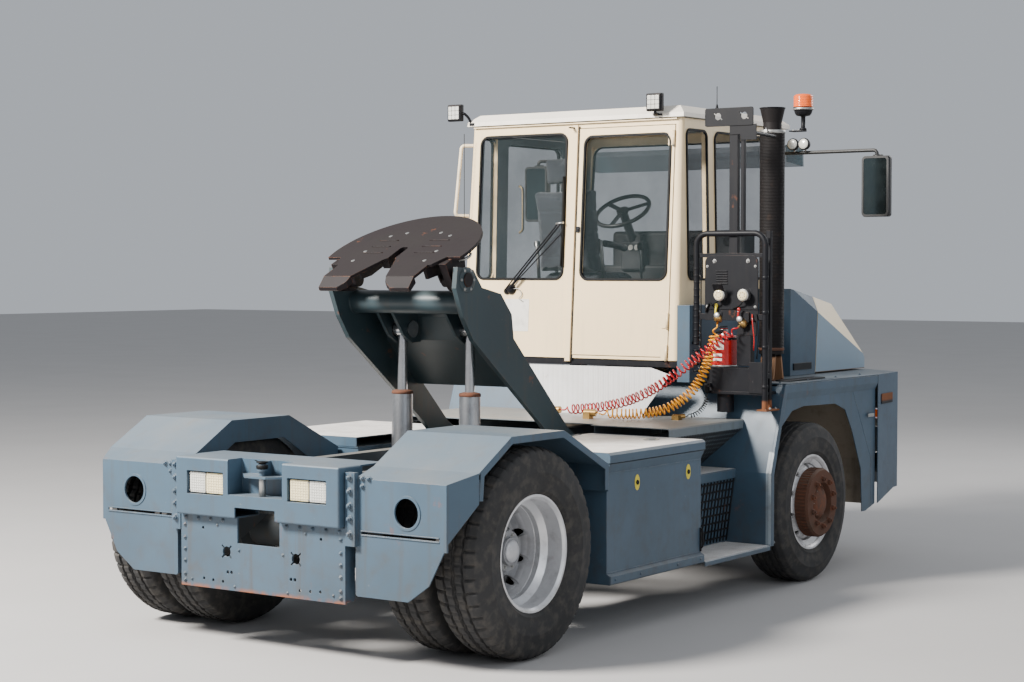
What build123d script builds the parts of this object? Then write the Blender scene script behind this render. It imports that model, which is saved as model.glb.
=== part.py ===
"""Terminal tractor with a lifting fifth wheel.

Lengths in mm. While building, X = 0 is the rear axle, X is forward, Y is left,
Z = 0 is the ground. Every node is moved by SHIFT_X when it is written, so that
the origin of the files is midway between the two ends at ground level.
"""
import math
import os

from build123d import *

os.makedirs("parts", exist_ok=True)

# ---------------------------------------------------------------- dimensions
REAR_X = -712.0            # rear face of the rear block
FRONT_X = 4720.0           # front face of the front body
SHIFT_X = -(REAR_X + FRONT_X) / 2.0
BODY_Y = 1250.0            # side planes of boxes and fenders
SHEET = 6.0

WHEELBASE = 3100.0
R_REAR = 538.0             # tyre radius on the rear axle
R_FRONT = 500.0            # tyre radius on the front axle, worn
RIM_R = 298.5              # 22.5 inch rim flange
RIM_H = 116.0              # half width of a rim
TWIN_Y = (790.0, 1115.0)   # tyre centre planes of the twin wheels
FRONT_Y = 1120.0           # tyre centre plane of the front wheels
KING_Y = 980.0             # kingpin axis
KING_R = 35.0
SPINDLE_R = 60.0
FRONT_SPINDLE_R = 50.0
RUN = 0.05                 # radial running clearance

RAIL_Y = (320.0, 400.0)
RAIL_Z = (690.0, 920.0)
RAIL_X = (-520.0, 4500.0)

ARM_PIVOT = (1650.0, 860.0)     # X, Z of the lift frame's pivot
FW_PIVOT = (500.0, 1905.0)      # X, Z of the fifth wheel's pivot, raised
FW_TILT = 25.7                  # backward tilt of the plate as parked
FW_R = 468.0                    # radius of the plate's front edge
FW_MID = 62.0                   # centre of that edge, forward of the pivot
FW_TOP = 147.0                  # height of the plate's face over the pivot
FW_T = 16.0
FW_SHAFT_R = 40.0
ARM_Y = (420.0, 450.0)
CYL_Y = 240.0
CYL_BASE = (800.0, 300.0)       # X, Z of the cylinder's lower pin
ROD_EYE = (820.0, 1620.0)       # X, Z of the rod's eye on the lift frame
PIN_R = 25.0
KINGPIN_R = 25.5                # seat of a 50.8 mm kingpin in the fifth wheel
JAW_Z = 84.0                    # lower face of its jaw, over the fifth wheel's pivot
ARM_PIN_R = 45.0

BOX_X = (692.0, 1704.0)         # side boxes
STEP_X = (1716.0, 2516.0)       # step wells
DECK_Z = (1040.0, 1262.0)       # deck behind the cab, deck of the front body
WALL_FOOT = (2520.0, 727.0)     # X, Z where the front body's rear wall bends
WALL_TOP = (2702.0, 1246.0)

CAB_X = (2480.0, 3822.0)        # at the floor
CAB_Z = (1351.0, 2909.0)
CAB_LEAN = (103.0, 155.0)       # rear and front wall lean forward over the height
CAB_Y = 216.5                   # middle of the cab, left of the middle line
CAB_HW = (836.0, 805.0)         # half width at the floor and at the eaves
WALL = 40.0

COIL_R = 34.0                   # outer radius of the coiled air hoses
CABLE_R = 18.0                  # outer radius of the coiled cable


# ------------------------------------------------------------------- helpers
def box(x0, x1, y0, y1, z0, z1):
    return Pos((x0 + x1) / 2, (y0 + y1) / 2, (z0 + z1) / 2) * Box(
        abs(x1 - x0), abs(y1 - y0), abs(z1 - z0))


def rbox(x0, x1, y0, y1, z0, z1, r, axis=None):
    """Box with rounded edges, all of them or those along one axis."""
    b = box(x0, x1, y0, y1, z0, z1)
    edges = b.edges() if axis is None else b.edges().filter_by(axis)
    return fillet(edges, r)


def prism(points, axis, low, high):
    """Polygon in the plane across `axis`, extruded from low to high."""
    low, high = min(low, high), max(low, high)
    if axis == "y":
        pts = [(a, low, b) for a, b in points]
        way = (0, 1, 0)
    elif axis == "x":
        pts = [(low, a, b) for a, b in points]
        way = (1, 0, 0)
    else:
        pts = [(a, b, low) for a, b in points]
        way = (0, 0, 1)
    face = make_face(Polyline(*pts, close=True))
    return extrude(face, amount=high - low, dir=way)


def sheet_line(points, t):
    """Closed outline of a folded sheet: the line and its mitred offset by t."""
    n = len(points)
    normals = []
    for (a, b), (c, d) in zip(points[:-1], points[1:]):
        length = math.hypot(c - a, d - b)
        normals.append((-(d - b) / length, (c - a) / length))
    inner = []
    for i in range(n):
        if i == 0:
            m = normals[0]
        elif i == n - 1:
            m = normals[-1]
        else:
            (p, q), (r, s) = normals[i - 1], normals[i]
            k = 1 + p * r + q * s
            m = ((p + r) / k, (q + s) / k)
        inner.append((points[i][0] + m[0] * t, points[i][1] + m[1] * t))
    return list(points) + inner[::-1]


def sheet(points, t, axis, low, high):
    return prism(sheet_line(points, t), axis, low, high)


def rod(a, b, r):
    """Solid cylinder from point a to point b."""
    va, vb = Vector(*a), Vector(*b)
    d = vb - va
    return Plane(origin=va, z_dir=d) * Cylinder(
        r, d.length, align=(Align.CENTER, Align.CENTER, Align.MIN))


def tube(a, b, r_out, r_in):
    """Hollow cylinder from point a to point b."""
    va, vb = Vector(*a), Vector(*b)
    d = (vb - va).normalized()
    return rod(a, b, r_out) - rod(tuple(va - d * 5), tuple(vb + d * 5), r_in)


def bent_rod(points, r, bend):
    line = FilletPolyline(*points, radius=bend)
    return sweep(Plane(origin=line @ 0, z_dir=line % 0) * Circle(r), path=line)


def mirror_y(shape):
    return mirror(shape, about=Plane.XZ)


def both(shape):
    return [shape, mirror_y(shape)]


def solids_of(thing):
    found = []
    for item in (thing if isinstance(thing, (list, tuple)) else [thing]):
        found.extend(item.solids())
    return found


def save(name, *things):
    found = []
    for thing in things:
        found.extend(solids_of(thing))
    parts = [Pos(SHIFT_X, 0, 0) * s for s in found]
    shape = parts[0] if len(parts) == 1 else Compound(children=parts)
    export_step(shape, "parts/" + name + ".step")


def revolve_y(section, y0):
    """Section rows are (radius, y); revolved about the Y axis."""
    pts = [(r, y0 + y, 0) for r, y in section]
    face = make_face(Polyline(*pts, close=True))
    return revolve(face, Axis.Y, 360)


def ring_of(count, r_place, r_hole, y0, y1, x, z, phase=0.0):
    out = []
    for i in range(count):
        a = math.radians(phase + 360.0 * i / count)
        cx, cz = x + r_place * math.cos(a), z + r_place * math.sin(a)
        out.append(rod((cx, y0, cz), (cx, y1, cz), r_hole))
    return out


# -------------------------------------------------------------------- wheels
def tyre(radius, y_mid, x, z):
    # (radius, half width) down one side, from the bead to the tread
    side = [(286, 104.5), (300, 104.5), (300, 118), (330, 136), (393, 142.5),
            (radius - 60, 134.5), (radius - 18, 120.5), (radius, 94.5)]
    pts = side + [(r, -y) for r, y in reversed(side)]
    return Pos(x, 0, z) * revolve_y(pts, y_mid)


def rim_barrel(y_mid, sign, x, z):
    """Rim with two flanges and a well; sign points away from the well."""
    h = RIM_H
    outer = [(RIM_R, h), (RIM_R, h - 10), (RIM_R - 13.5, h - 11), (RIM_R - 14, 10),
             (RIM_R - 45, -14), (RIM_R - 45, -h + 40), (RIM_R - 14, -h + 24),
             (RIM_R - 13.5, -h + 11), (RIM_R, -h + 10), (RIM_R, -h)]
    inner = [(RIM_R - 12, -h), (RIM_R - 24, -h + 14), (RIM_R - 24, -h + 22),
             (RIM_R - 56, -h + 38), (RIM_R - 56, -12), (RIM_R - 24, 14),
             (RIM_R - 24, h - 14), (RIM_R - 12, h)]
    pts = [(r, sign * y) for r, y in outer + inner]
    return Pos(x, 0, z) * revolve_y(pts, y_mid)


# rear twin wheels, right side at negative Y
HUB_END = 1010.0
rear_tyres = [tyre(R_REAR, -y, 0, R_REAR) for y in TWIN_Y]
TWIN_MID = -(TWIN_Y[0] + TWIN_Y[1]) / 2
barrels = rim_barrel(-TWIN_Y[1], -1, 0, R_REAR) + rim_barrel(-TWIN_Y[0], 1, 0, R_REAR)
# disc rows: radius, distance from the joint between the twins
disc_rows = [(60.05, -1), (186, -1), (206, 11), (228, 38), (240, 74), (250, 100), (250, 120),
             (240, 120), (231, 78), (219, 46), (200, 20), (182, 9), (60.05, 9)]
disc = revolve_y([(r, -y) for r, y in disc_rows], TWIN_MID) + revolve_y(disc_rows, TWIN_MID)
disc = Pos(0, 0, R_REAR) * disc
for cut in ring_of(10, 210, 24, TWIN_MID - 90, TWIN_MID + 90, 0, R_REAR, 18):
    disc -= cut
hub = rod((0, TWIN_MID + 130, R_REAR), (0, -HUB_END - 62, R_REAR), 104)
hub += rod((0, -HUB_END - 60, R_REAR), (0, -HUB_END - 82, R_REAR), 72)
rear_rims = barrels + disc + hub + tube((0, -655, R_REAR), (0, TWIN_MID + 4, R_REAR), 178, 164)
for stud in ring_of(10, 146, 14, TWIN_MID - 4, TWIN_MID - 50, 0, R_REAR):
    rear_rims += stud
rear_rims -= rod((0, -600, R_REAR), (0, -HUB_END, R_REAR), SPINDLE_R + RUN)

save("tyres_rear_right", rear_tyres)
save("tyres_rear_left", [mirror_y(t) for t in rear_tyres])
save("rims_rear_right", rear_rims)
save("rims_rear_left", mirror_y(rear_rims))

# front wheels
FX, FZ = WHEELBASE, R_FRONT
HUB_FACE = 1310.0
front_tyre = tyre(R_FRONT, -FRONT_Y, FX, FZ)
front_rim = rim_barrel(-FRONT_Y, 1, FX, FZ)
# disc rows: radius, distance outward from the tyre's middle plane
front_disc_rows = [(100, 88), (192, 88), (214, 80), (232, 60), (243, 30), (243, 14),
                   (250, 14), (250, 34), (240, 66), (222, 90), (196, 98), (100, 98)]
front_disc = Pos(FX, 0, FZ) * revolve_y([(r, -y) for r, y in front_disc_rows], -FRONT_Y)
for cut in ring_of(10, 230, 20, -FRONT_Y - 130, -FRONT_Y + 10, FX, FZ, 18):
    front_disc -= cut
# protruding hub ring rows: radius, Y
HUB_RING = [(100, -1212), (206, -1212), (214, -1222), (214, -HUB_FACE + 14), (204, -HUB_FACE),
            (128, -HUB_FACE), (120, -HUB_FACE + 34), (100, -HUB_FACE + 34)]
front_hub = rod((FX, -1150, FZ), (FX, -HUB_FACE + 34, FZ), 110)
front_hub += Pos(FX, 0, FZ) * revolve_y(HUB_RING, 0)
front_rim = front_rim + front_disc + front_hub
front_rim += rod((FX, -HUB_FACE + 36, FZ), (FX, -HUB_FACE + 8, FZ), 62)
front_rim -= rod((FX, -1100, FZ), (FX, -1240, FZ), FRONT_SPINDLE_R + RUN)
save("tyre_front_right", front_tyre)
save("tyre_front_left", mirror_y(front_tyre))
save("rim_front_right", front_rim)
save("rim_front_left", mirror_y(front_rim))

# --------------------------------------------------------------------- axles
rear_axle = rod((0, -640, R_REAR), (0, 640, R_REAR), 95)
rear_axle += Pos(0, 0, R_REAR) * Sphere(185)
rear_axle += rod((0, -(HUB_END - 2), R_REAR), (0, HUB_END - 2, R_REAR), SPINDLE_R)
rear_axle += rod((0, 0, R_REAR), (420, 0, R_REAR + 14), 58)
for s in (1, -1):
    rear_axle += box(-100, 100, s * 360 - 38, s * 360 + 38, R_REAR + 50, RAIL_Z[0] - 1)
    rear_axle += rod((0, s * 600, R_REAR), (0, s * 634, R_REAR), 170)
save("rear_axle", rear_axle)

front_axle = box(FX - 55, FX + 55, -(KING_Y - 60), KING_Y - 60, FZ - 62, FZ + 62)
for s in (1, -1):
    front_axle += rod((FX, s * KING_Y, FZ - 70), (FX, s * KING_Y, FZ + 70), 68)
    front_axle += box(FX - 50, FX + 50, s * 360 - 38, s * 360 + 38, FZ + 50, RAIL_Z[0] - 1)
    front_axle -= rod((FX, s * KING_Y, FZ - 80), (FX, s * KING_Y, FZ + 80), KING_R + RUN)
save("front_axle", front_axle)

knuckle = rod((FX, -KING_Y, FZ - 106), (FX, -KING_Y, FZ + 106), KING_R)
for s in (1, -1):
    knuckle += box(FX - 55, FX + 55, -KING_Y - 104, -KING_Y + 50, FZ + s * 74, FZ + s * 106)
knuckle += box(FX - 55, FX + 55, -KING_Y - 104, -KING_Y - 75, FZ - 106, FZ + 106)
knuckle += rod((FX, -KING_Y - 80, FZ), (FX, -1238, FZ), FRONT_SPINDLE_R)
knuckle += box(FX - 180, FX - 40, -KING_Y + 8, -KING_Y + 40, FZ - 106, FZ - 84)
save("knuckle_right", knuckle)
save("knuckle_left", mirror_y(knuckle))

# --------------------------------------------------------------------- frame
# gusset behind the rear panel, X and Z
GUSSET = [(-644, 420), (-644, 686), (-520, 686), (-520, 700), (-112, 700), (-430, 540), (-600, 420)]
# cross members: rear and front X
CROSS = ((-520, -478), (1150, 1230), (2300, 2380), (4440, 4500))
# outriggers: rear X of each
OUTRIGGERS = (760, 1560, 2100, 2600, 4200)
frame = box(*RAIL_X, *RAIL_Y, *RAIL_Z) + box(*RAIL_X, -RAIL_Y[1], -RAIL_Y[0], *RAIL_Z)
for x0, x1 in CROSS:
    frame += box(x0, x1, -RAIL_Y[1], RAIL_Y[1], RAIL_Z[0] + 10, RAIL_Z[1] - 10)
frame += rod((ARM_PIVOT[0], -470, ARM_PIVOT[1]), (ARM_PIVOT[0], 470, ARM_PIVOT[1]), ARM_PIN_R)
for s in (1, -1):
    frame += prism(GUSSET, "y", s * 352, s * 368)
    for x in OUTRIGGERS:
        frame += box(x, x + 60, s * (RAIL_Y[1] - 20), s * 469, 640, 726)
save("frame", frame)

# cradle under the rails that carries the cylinders' lower pins
cradle = box(735, 865, -379, 379, 205, 240)
for s in (1, -1):
    cradle += box(735, 865, s * 336, s * 379, 205, RAIL_Z[0])
    for y in (176, 284):
        cradle += box(768, 832, s * y, s * (y + 20), 235, 328)
    cradle += rod((CYL_BASE[0], s * 176, CYL_BASE[1]), (CYL_BASE[0], s * 304, CYL_BASE[1]), PIN_R)
save("lift_cradle", cradle)

# ---------------------------------------------------------------- lift frame
UP_EDGE = [(415, 1975), (560, 1960), (640, 1862), (820, 1826), (925, 1710), (945, 1573),
           (1500, 1036), (1730, 905)]
LOW_EDGE = [(1710, 775), (1580, 775), (1260, 1045), (560, 1574), (470, 1700), (400, 1860)]
# web plate between the arms, on their upper side
WEB = [(800, 1800), (905, 1700), (925, 1570), (1205, 1300), (1185, 1282), (900, 1555), (880, 1690), (785, 1785)]
# plates that carry the rods' upper pins
EYE_PLATE = [(600, 1780), (645, 1836), (792, 1792), (892, 1694), (912, 1545), (825, 1540), (750, 1585)]
arm = prism(UP_EDGE + LOW_EDGE, "y", -ARM_Y[1], -ARM_Y[0])
arm += rod((ARM_PIVOT[0], -ARM_Y[1] - 8, ARM_PIVOT[1]), (ARM_PIVOT[0], -ARM_Y[0] + 8, ARM_PIVOT[1]), 80)
arm -= rod((ARM_PIVOT[0], -500, ARM_PIVOT[1]), (ARM_PIVOT[0], -380, ARM_PIVOT[1]), ARM_PIN_R + RUN)
arm -= rod((FW_PIVOT[0], -500, FW_PIVOT[1]), (FW_PIVOT[0], -380, FW_PIVOT[1]), FW_SHAFT_R + RUN)
lift = arm + mirror_y(arm)
lift += rod((620, -ARM_Y[0] - 5, 1780), (620, ARM_Y[0] + 5, 1780), 65)
lift += prism(WEB, "y", -ARM_Y[0] - 5, ARM_Y[0] + 5)
for s in (1, -1):
    for y in (176, 284):
        lift += prism(EYE_PLATE, "y", s * y, s * (y + 20))
    # wide holes: the rods' pins wander a little in them over the stroke
    lift -= rod((ROD_EYE[0], s * 170, ROD_EYE[1]), (ROD_EYE[0], s * 310, ROD_EYE[1]), 45)
save("lift_frame", lift)

# --------------------------------------------------------------- fifth wheel
# built level with its pivot at the origin, then tilted
UNDER = FW_TOP - FW_T
plate = (prism([(-18, -500), (560, -500), (560, 500), (-18, 500)], "z", UNDER, FW_TOP)
         & (Pos(FW_MID, 0, FW_TOP - FW_T / 2) * Cylinder(FW_R, FW_T)))
# half outline behind the round part (X, half width)
TAIL = [(-17, 374), (-108, 331), (-114, 312), (-258, 312)]
plate += prism(TAIL + [(x, -y) for x, y in reversed(TAIL)], "z", UNDER, FW_TOP)
# ramped horns (X, Z)
HORN = [(-254, FW_TOP), (-254, FW_TOP - 42), (-318, 85), (-327, 93), (-325, 111)]
for s in (1, -1):
    plate += prism(HORN, "y", s * 120, s * 312)
# jaw block under the throat
plate += box(-30, 142, -75, 75, JAW_Z, UNDER + 1)
# throat: X, half width
THROAT = [(-420, 230), (-325, 185), (-290, 136), (-43, 40), (-30, KINGPIN_R), (90, KINGPIN_R)]
plate -= prism(THROAT + [(x, -w) for x, w in reversed(THROAT)], "z", 60, 170)
plate -= rod((90, 0, 60), (90, 0, 170), KINGPIN_R)
# ribs under the plate (X, Z)
RIB = [(-140, UNDER + 1), (-140, 72), (-60, 54), (110, 54), (230, 94), (322, 117), (322, UNDER + 1)]
for s in (1, -1):
    for y0, y1 in ((288, 306), (150, 164)):
        plate += prism(RIB, "y", s * y0, s * y1)
    plate += prism([(-66, 0), (66, 0), (110, UNDER + 1), (-80, UNDER + 1)], "y", s * 352, s * 400)
    plate += rod((0, s * 352, 0), (0, s * 412, 0), 66)
    plate += rod((0, s * 300, 0), (0, s * 462, 0), FW_SHAFT_R)
    plate += prism([(-40, 0), (40, 0), (60, UNDER + 1), (-60, UNDER + 1)], "y", s * 296, s * 306)
plate += box(306, 320, -306, 306, 117, UNDER + 1) + box(140, 154, -306, 306, 80, UNDER + 1)
save("fifth_wheel", Pos(FW_PIVOT[0], 0, FW_PIVOT[1]) * Rot(0, -FW_TILT, 0) * plate)


# ------------------------------------------------------------ lift cylinders
def cyl_parts(y):
    length = math.hypot(ROD_EYE[0] - CYL_BASE[0], ROD_EYE[1] - CYL_BASE[1])
    ux, uz = (ROD_EYE[0] - CYL_BASE[0]) / length, (ROD_EYE[1] - CYL_BASE[1]) / length

    def pt(t):
        return (CYL_BASE[0] + ux * t, y, CYL_BASE[1] + uz * t)

    def eye(at, r):
        return rod((at[0], y - 40, at[1]), (at[0], y + 40, at[1]), r)

    barrel = tube(pt(66), pt(580), 72, 60.05) + tube(pt(560), pt(582), 75, 60.05)
    barrel += rod(pt(56), pt(67), 72) + rod(pt(20), pt(58), 38) + eye(CYL_BASE, 44)
    barrel -= rod((CYL_BASE[0], y - 60, CYL_BASE[1]), (CYL_BASE[0], y + 60, CYL_BASE[1]), PIN_R + RUN)
    stage = tube(pt(420), pt(965), 60, 28.05)
    stem = rod(pt(860), pt(length - 30), 28) + eye(ROD_EYE, 42)
    stem += rod((ROD_EYE[0], y - 76, ROD_EYE[1]), (ROD_EYE[0], y + 76, ROD_EYE[1]), PIN_R)
    for s in (1, -1):
        stem += rod((ROD_EYE[0], y + s * 68, ROD_EYE[1]), (ROD_EYE[0], y + s * 76, ROD_EYE[1]), 48)
    return barrel, stage, stem


for side, y in (("left", CYL_Y), ("right", -CYL_Y)):
    for part, shape in zip(("barrel", "stage", "rod"), cyl_parts(y)):
        save("lift_" + part + "_" + side, shape)

# ----------------------------------------------------------------- rear body
block = rbox(REAR_X, -521, -553, 553, 688.5, 990, 11)
block -= box(REAR_X + 9, -530, -544, 544, 697, 981)
block += box(-540, -345, -553, 553, 982, 990)
for s in (1, -1):
    # lamp recesses, with their boxes behind
    block += box(REAR_X + 4, REAR_X + 62, s * 206, s * 483, 788, 931)
    block -= box(REAR_X - 5, REAR_X + 54, s * 218, s * 471, 800, 919)
# tow pocket, open at its top and rear
block += box(REAR_X + 4, REAR_X + 118, -192, 192, 798, 986)
block -= box(REAR_X - 5, REAR_X + 110, -184, 184, 810, 1000)
block += prism([(REAR_X + 1, -70), (REAR_X + 112, -186), (REAR_X + 112, 186), (REAR_X + 1, 70)], "z", 902, 914)
block += prism([(REAR_X + 112, 902), (REAR_X + 112, 986), (REAR_X + 60, 986), (REAR_X + 4, 914)], "y", -16, 16)
block -= box(REAR_X - 5, REAR_X + 60, -60, 60, 914, 1000)
block -= box(REAR_X - 5, -500, -134, 138, 600, 746)
block += rod((REAR_X + 32, -24, 806), (REAR_X + 32, -24, 962), 15)
block += rod((REAR_X + 32, -24, 940), (REAR_X + 32, -24, 975), 26)
save("rear_block", block)

panel = box(-667, -655, -556, 556, 308, 686)
panel -= box(-680, -640, -127, 160, 556, 700)
for s in (1, -1):
    panel += box(-660, -590, s * 548, s * 556, 316, 686)
    panel -= rod((-680, s * 235, 507), (-640, s * 235, 507), 27)
    for turn in (45, 135):
        panel -= Pos(-660, s * 235, 507) * Rot(turn, 0, 0) * Box(30, 92, 9)
    for y, z, r in ((202, 402, 9), (228, 402, 9), (395, 356, 8), (330, 352, 8), (262, 350, 8), (400, 620, 8)):
        panel -= rod((-680, s * y, z), (-640, s * y, z), r)
save("rear_panel", panel)

# fender profile, X and Z, from the bottom of the rear plane over the top
FENDER = [(-645, 610), (-645, 935), (-500, 985), (-225, 1142), (245, 1142), (672, 935), (672, 790)]
# rear plane, Y and Z
FENDER_REAR = [(-1163, 935), (-1163, 640), (-1057, 441), (-930, 352), (-613, 352), (-604, 362), (-604, 935)]
fender = sheet(FENDER, -8, "y", -BODY_Y, -604) + prism(FENDER_REAR, "x", -645, -637)
fender -= prism([(-720, -1118), (-645, -1163), (-500, -1250), (-480, -1262), (-480, -1320), (-720, -1320)],
                "z", 300, 1200)
chamfer = prism([(-645, -1163), (-500, -1250), (-495, -1243.6), (-640, -1156.6)], "z", 600, 1000)
for cut in ([(-700, 566), (-645, 640), (-500, 835), (-470, 876), (-470, 500), (-700, 500)],
            [(-700, 916), (-645, 935), (-500, 985), (-470, 1002), (-470, 1100), (-700, 1100)]):
    chamfer -= prism(cut, "y", -1300, -1100)
fender += chamfer
# turned-down outer lip, and the inner wall
LIP = [(-497, 850), (-484, 985), (-225, 1136), (245, 1136), (668, 930), (668, 800)]
fender += sheet(LIP, -30, "y", -BODY_Y, -BODY_Y + 6)
INNER = [(-640, 360), (-640, 930), (-500, 980), (-225, 1136), (245, 1136), (668, 930), (668, 800),
         (560, 800), (200, 1020), (-200, 1020), (-480, 860), (-560, 700), (-590, 360)]
fender += prism(INNER, "y", -610, -604)
fender -= rod((-665, -922, 784), (-625, -922, 784), 72)
fender -= box(-665, -636, -1120, -640, 662, 674)
fender += box(-672, -640, -620, -558, 600, 965)
save("rear_fenders", both(fender))

# ----------------------------------------------------- side boxes and steps
# outer faces of a box, (Y, Z), from the bottom to below the lid
BOX_FACE = [(-470, 287), (-1244, 287), (-1250, 293), (-1250, 332), (-1224, 344), (-1224, 885), (-1246, 930)]
INSIDE_Y = -476.0
side_box = sheet(BOX_FACE, -SHEET, "x", *BOX_X)
for x in (BOX_X[0], BOX_X[1] - SHEET):
    side_box += prism(BOX_FACE + [(-470, 930)], "x", x, x + SHEET)
side_box += box(*BOX_X, INSIDE_Y, -470, 287, 930)
side_box &= rbox(BOX_X[0], BOX_X[1], -1260, -440, 200, 1000, 20, Axis.Z)
LID_X = (BOX_X[0] - 6, BOX_X[1] + 6)
LID_FACE = [(-478, 992), (-1236, 992), (-1250, 978), (-1250, 936)]
lid = sheet(LID_FACE, SHEET, "x", *LID_X)
for x in (LID_X[0], LID_X[1] - SHEET):
    lid += prism(LID_FACE + [(-478, 936)], "x", x, x + SHEET)
lid &= rbox(*LID_X, -1270, -440, 900, 1100, 22, Axis.Z)
fixed_top = mirror_y(side_box + lid + box(LID_X[0] + 2, LID_X[1] - 2, -1247, -470, 928, 937))
save("side_boxes", side_box, fixed_top)
save("box_lid", lid)

# the slanted wall bounds the step wells, (X, Z)
WELL_END = [(WALL_FOOT[0] - 4, 200), (WALL_FOOT[0] - 4, WALL_FOOT[1]), (WALL_TOP[0] - 5, WALL_TOP[1]),
            (2900, WALL_TOP[1]), (2900, 200)]
WELL_X = (STEP_X[0], 2640)
tread_mid = sheet([(-742, 745), (-1004, 745), (-1010, 739), (-1010, 690)], 7, "x", *WELL_X)
tread_low = sheet([(-944, 292), (-1244, 292), (-1250, 286), (-1250, 262)], 7, "x", *WELL_X)
riser_up = sheet([(-1002, 982), (-750, 748)], 5, "x", *WELL_X)
riser_low = sheet([(-1001, 735), (-1001, 690), (-948, 296)], 6, "x", *WELL_X)
rear_deck = sheet([(-470, DECK_Z[0]), (-1002, DECK_Z[0]), (-1010, DECK_Z[0] - 8), (-1010, DECK_Z[0] - 54)], SHEET,
                  "x", *WELL_X)
well_end = prism(WELL_END, "y", -1300, -460)
save("steps", both(tread_mid - well_end), both(tread_low - well_end))
save("step_risers", both(riser_up - well_end), both(riser_low - well_end))
rear_deck -= well_end
centre_deck = box(1790, 2620, -471, 471, DECK_Z[0] - SHEET, DECK_Z[0])
for s in (1, -1):
    centre_deck += box(1800, 2585, s * 440, s * 446, 930, DECK_Z[0] - 4)
save("rear_deck", rear_deck + centre_deck + mirror_y(rear_deck))

# ---------------------------------------------------------------- front body
# plan of the nose (X, Y), right half
PLAN = [(4060, -1250), (4460, -1212), (4690, -860), (FRONT_X, -300)]
PLAN = PLAN + [(x, -y) for x, y in reversed(PLAN)]
front_deck = prism([(2712, -1250)] + PLAN + [(2712, 1250)], "z", DECK_Z[1] - SHEET, DECK_Z[1])
front_deck -= box(3935, 4560, -840, 840, 1200, 1300)
nose = sheet(PLAN, SHEET, "z", 380, DECK_Z[1] - 1)
nose -= prism([(3900, 300), (3900, 362), (4060, 400), (4380, 475), (4800, 480), (4800, 300)], "y", -1300, 1300)
for s in (1, -1):
    # recess for the round light, and the square one above it
    nose -= Pos(4576, s * 1036, 620) * Rot(0, 0, -s * 33.2) * rod((-60, 0, 0), (60, 0, 0), 74)
    nose -= Pos(4576, s * 1036, 930) * Rot(0, 0, -s * 33.2) * Box(120, 190, 130)
front_deck += nose
for x in (2800, 3640):
    for y in (-430, 860):
        front_deck += box(x - 45, x + 45, y - 45, y + 45, DECK_Z[1] - 1, CAB_Z[0] - 1)
save("front_deck", front_deck)

# fascia of the front body, (Y, Z) from the deck down
FASCIA = [(-1195, 1254), (-1250, 1254), (-1250, 1205), (-1231, 1162), (-1231, 285)]
# wheel arch, X and Z, from its rear foot over the top
ARCH = [(2562, 200), (2562, 701), (2580, 810), (2644, 967), (2832, 1087), (2991, 1109), (3442, 1099),
        (3590, 1053), (3693, 917), (3837, 645), (3854, 362), (3854, 200)]
SLANT = [(2400, 200), (2520, 200), WALL_FOOT, (2708, 1262), (2708, 1400), (2400, 1400)]
NOSE_LOW = [(3850, 200), (3854, 362), (3906, 362), (4060, 400), (4160, 420), (4160, 200)]
side_wall = sheet(FASCIA, SHEET, "x", 2520, 4052)
for cut in (SLANT, ARCH, NOSE_LOW):
    side_wall -= prism(cut, "y", -1300, -1150)
edge = prism([(2521, 285), (2521, 727), (2704, 1250), (2744, 1250), (2562, 716), (2562, 285)], "y", -BODY_Y, -1226)
rear_wall = sheet([(2520, 285), WALL_FOOT, WALL_TOP], -SHEET, "y", -1232, -560)
upper_wall = sheet([WALL_FOOT, WALL_TOP], -SHEET, "y", -561, 1) - box(2400, 2900, -600, 10, 200, DECK_Z[0] + 2)
liner = sheet([(2712, 1190), (3690, 1190), (3990, 700), (3990, 400)], SHEET, "y", -1232, -600)
front_side = side_wall + edge + rear_wall + upper_wall + liner
save("front_fenders", front_side + mirror_y(front_side))

# -------------------------------------------------------------------- bonnet
HOOD = [(3850, 1272), (3895, 1777), (4270, 1724), (4620, 1345), (4620, 1272)]
HOOD_IN = [(3840, 1260), (3880, 1768), (4266, 1715.5), (4612, 1341), (4612, 1260)]
CORNER = Vector(4270, -800, 1724)
BEVEL = Vector(0.163, -0.908, 0.386)      # outward normal of the bevelled corner


def bevel_cut(inset):
    return Plane(origin=CORNER - BEVEL.normalized() * inset, z_dir=BEVEL) * Box(
        5000, 5000, 600, align=(Align.CENTER, Align.CENTER, Align.MIN))


def bevelled(profile, half, inset):
    cut = bevel_cut(inset)
    return prism(profile, "y", -half, half) - cut - mirror_y(cut)


save("bonnet", bevelled(HOOD, 890, 0) - bevelled(HOOD_IN, 882, 8))
save("engine", box(3420, 3960, -300, 300, 700, 1240) + box(3958, 4400, -300, 300, 700, 1480))

# housing beside the cab, on the right: narrow run and the wide front end
side_cover = prism([(2460, 1264), (2460, 1740), (3484, 1740), (3484, 1264)], "y", -716, -628)
side_cover -= prism([(2466, 1250), (2466, 1734), (3478, 1734), (3478, 1250)], "y", -710, -634)
HOUSING = [(3480, 1264), (3480, 1834.4), (3887, 1777.5), (3842, 1272), (3842, 1264)]
HOUSING_IN = [(3486, 1250), (3486, 1827.5), (3880, 1772), (3834, 1272), (3834, 1250)]
housing = prism(HOUSING, "y", -890, -640) - bevel_cut(0)
housing -= prism(HOUSING_IN, "y", -884, -646) - bevel_cut(7)
side_cover = side_cover - box(3400, 3600, -722, -646, 1200, 1731) + housing
save("side_cover", side_cover)


# ----------------------------------------------------------------------- cab
def lean(z):
    return (z - CAB_Z[0]) / (CAB_Z[1] - CAB_Z[0])


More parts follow.
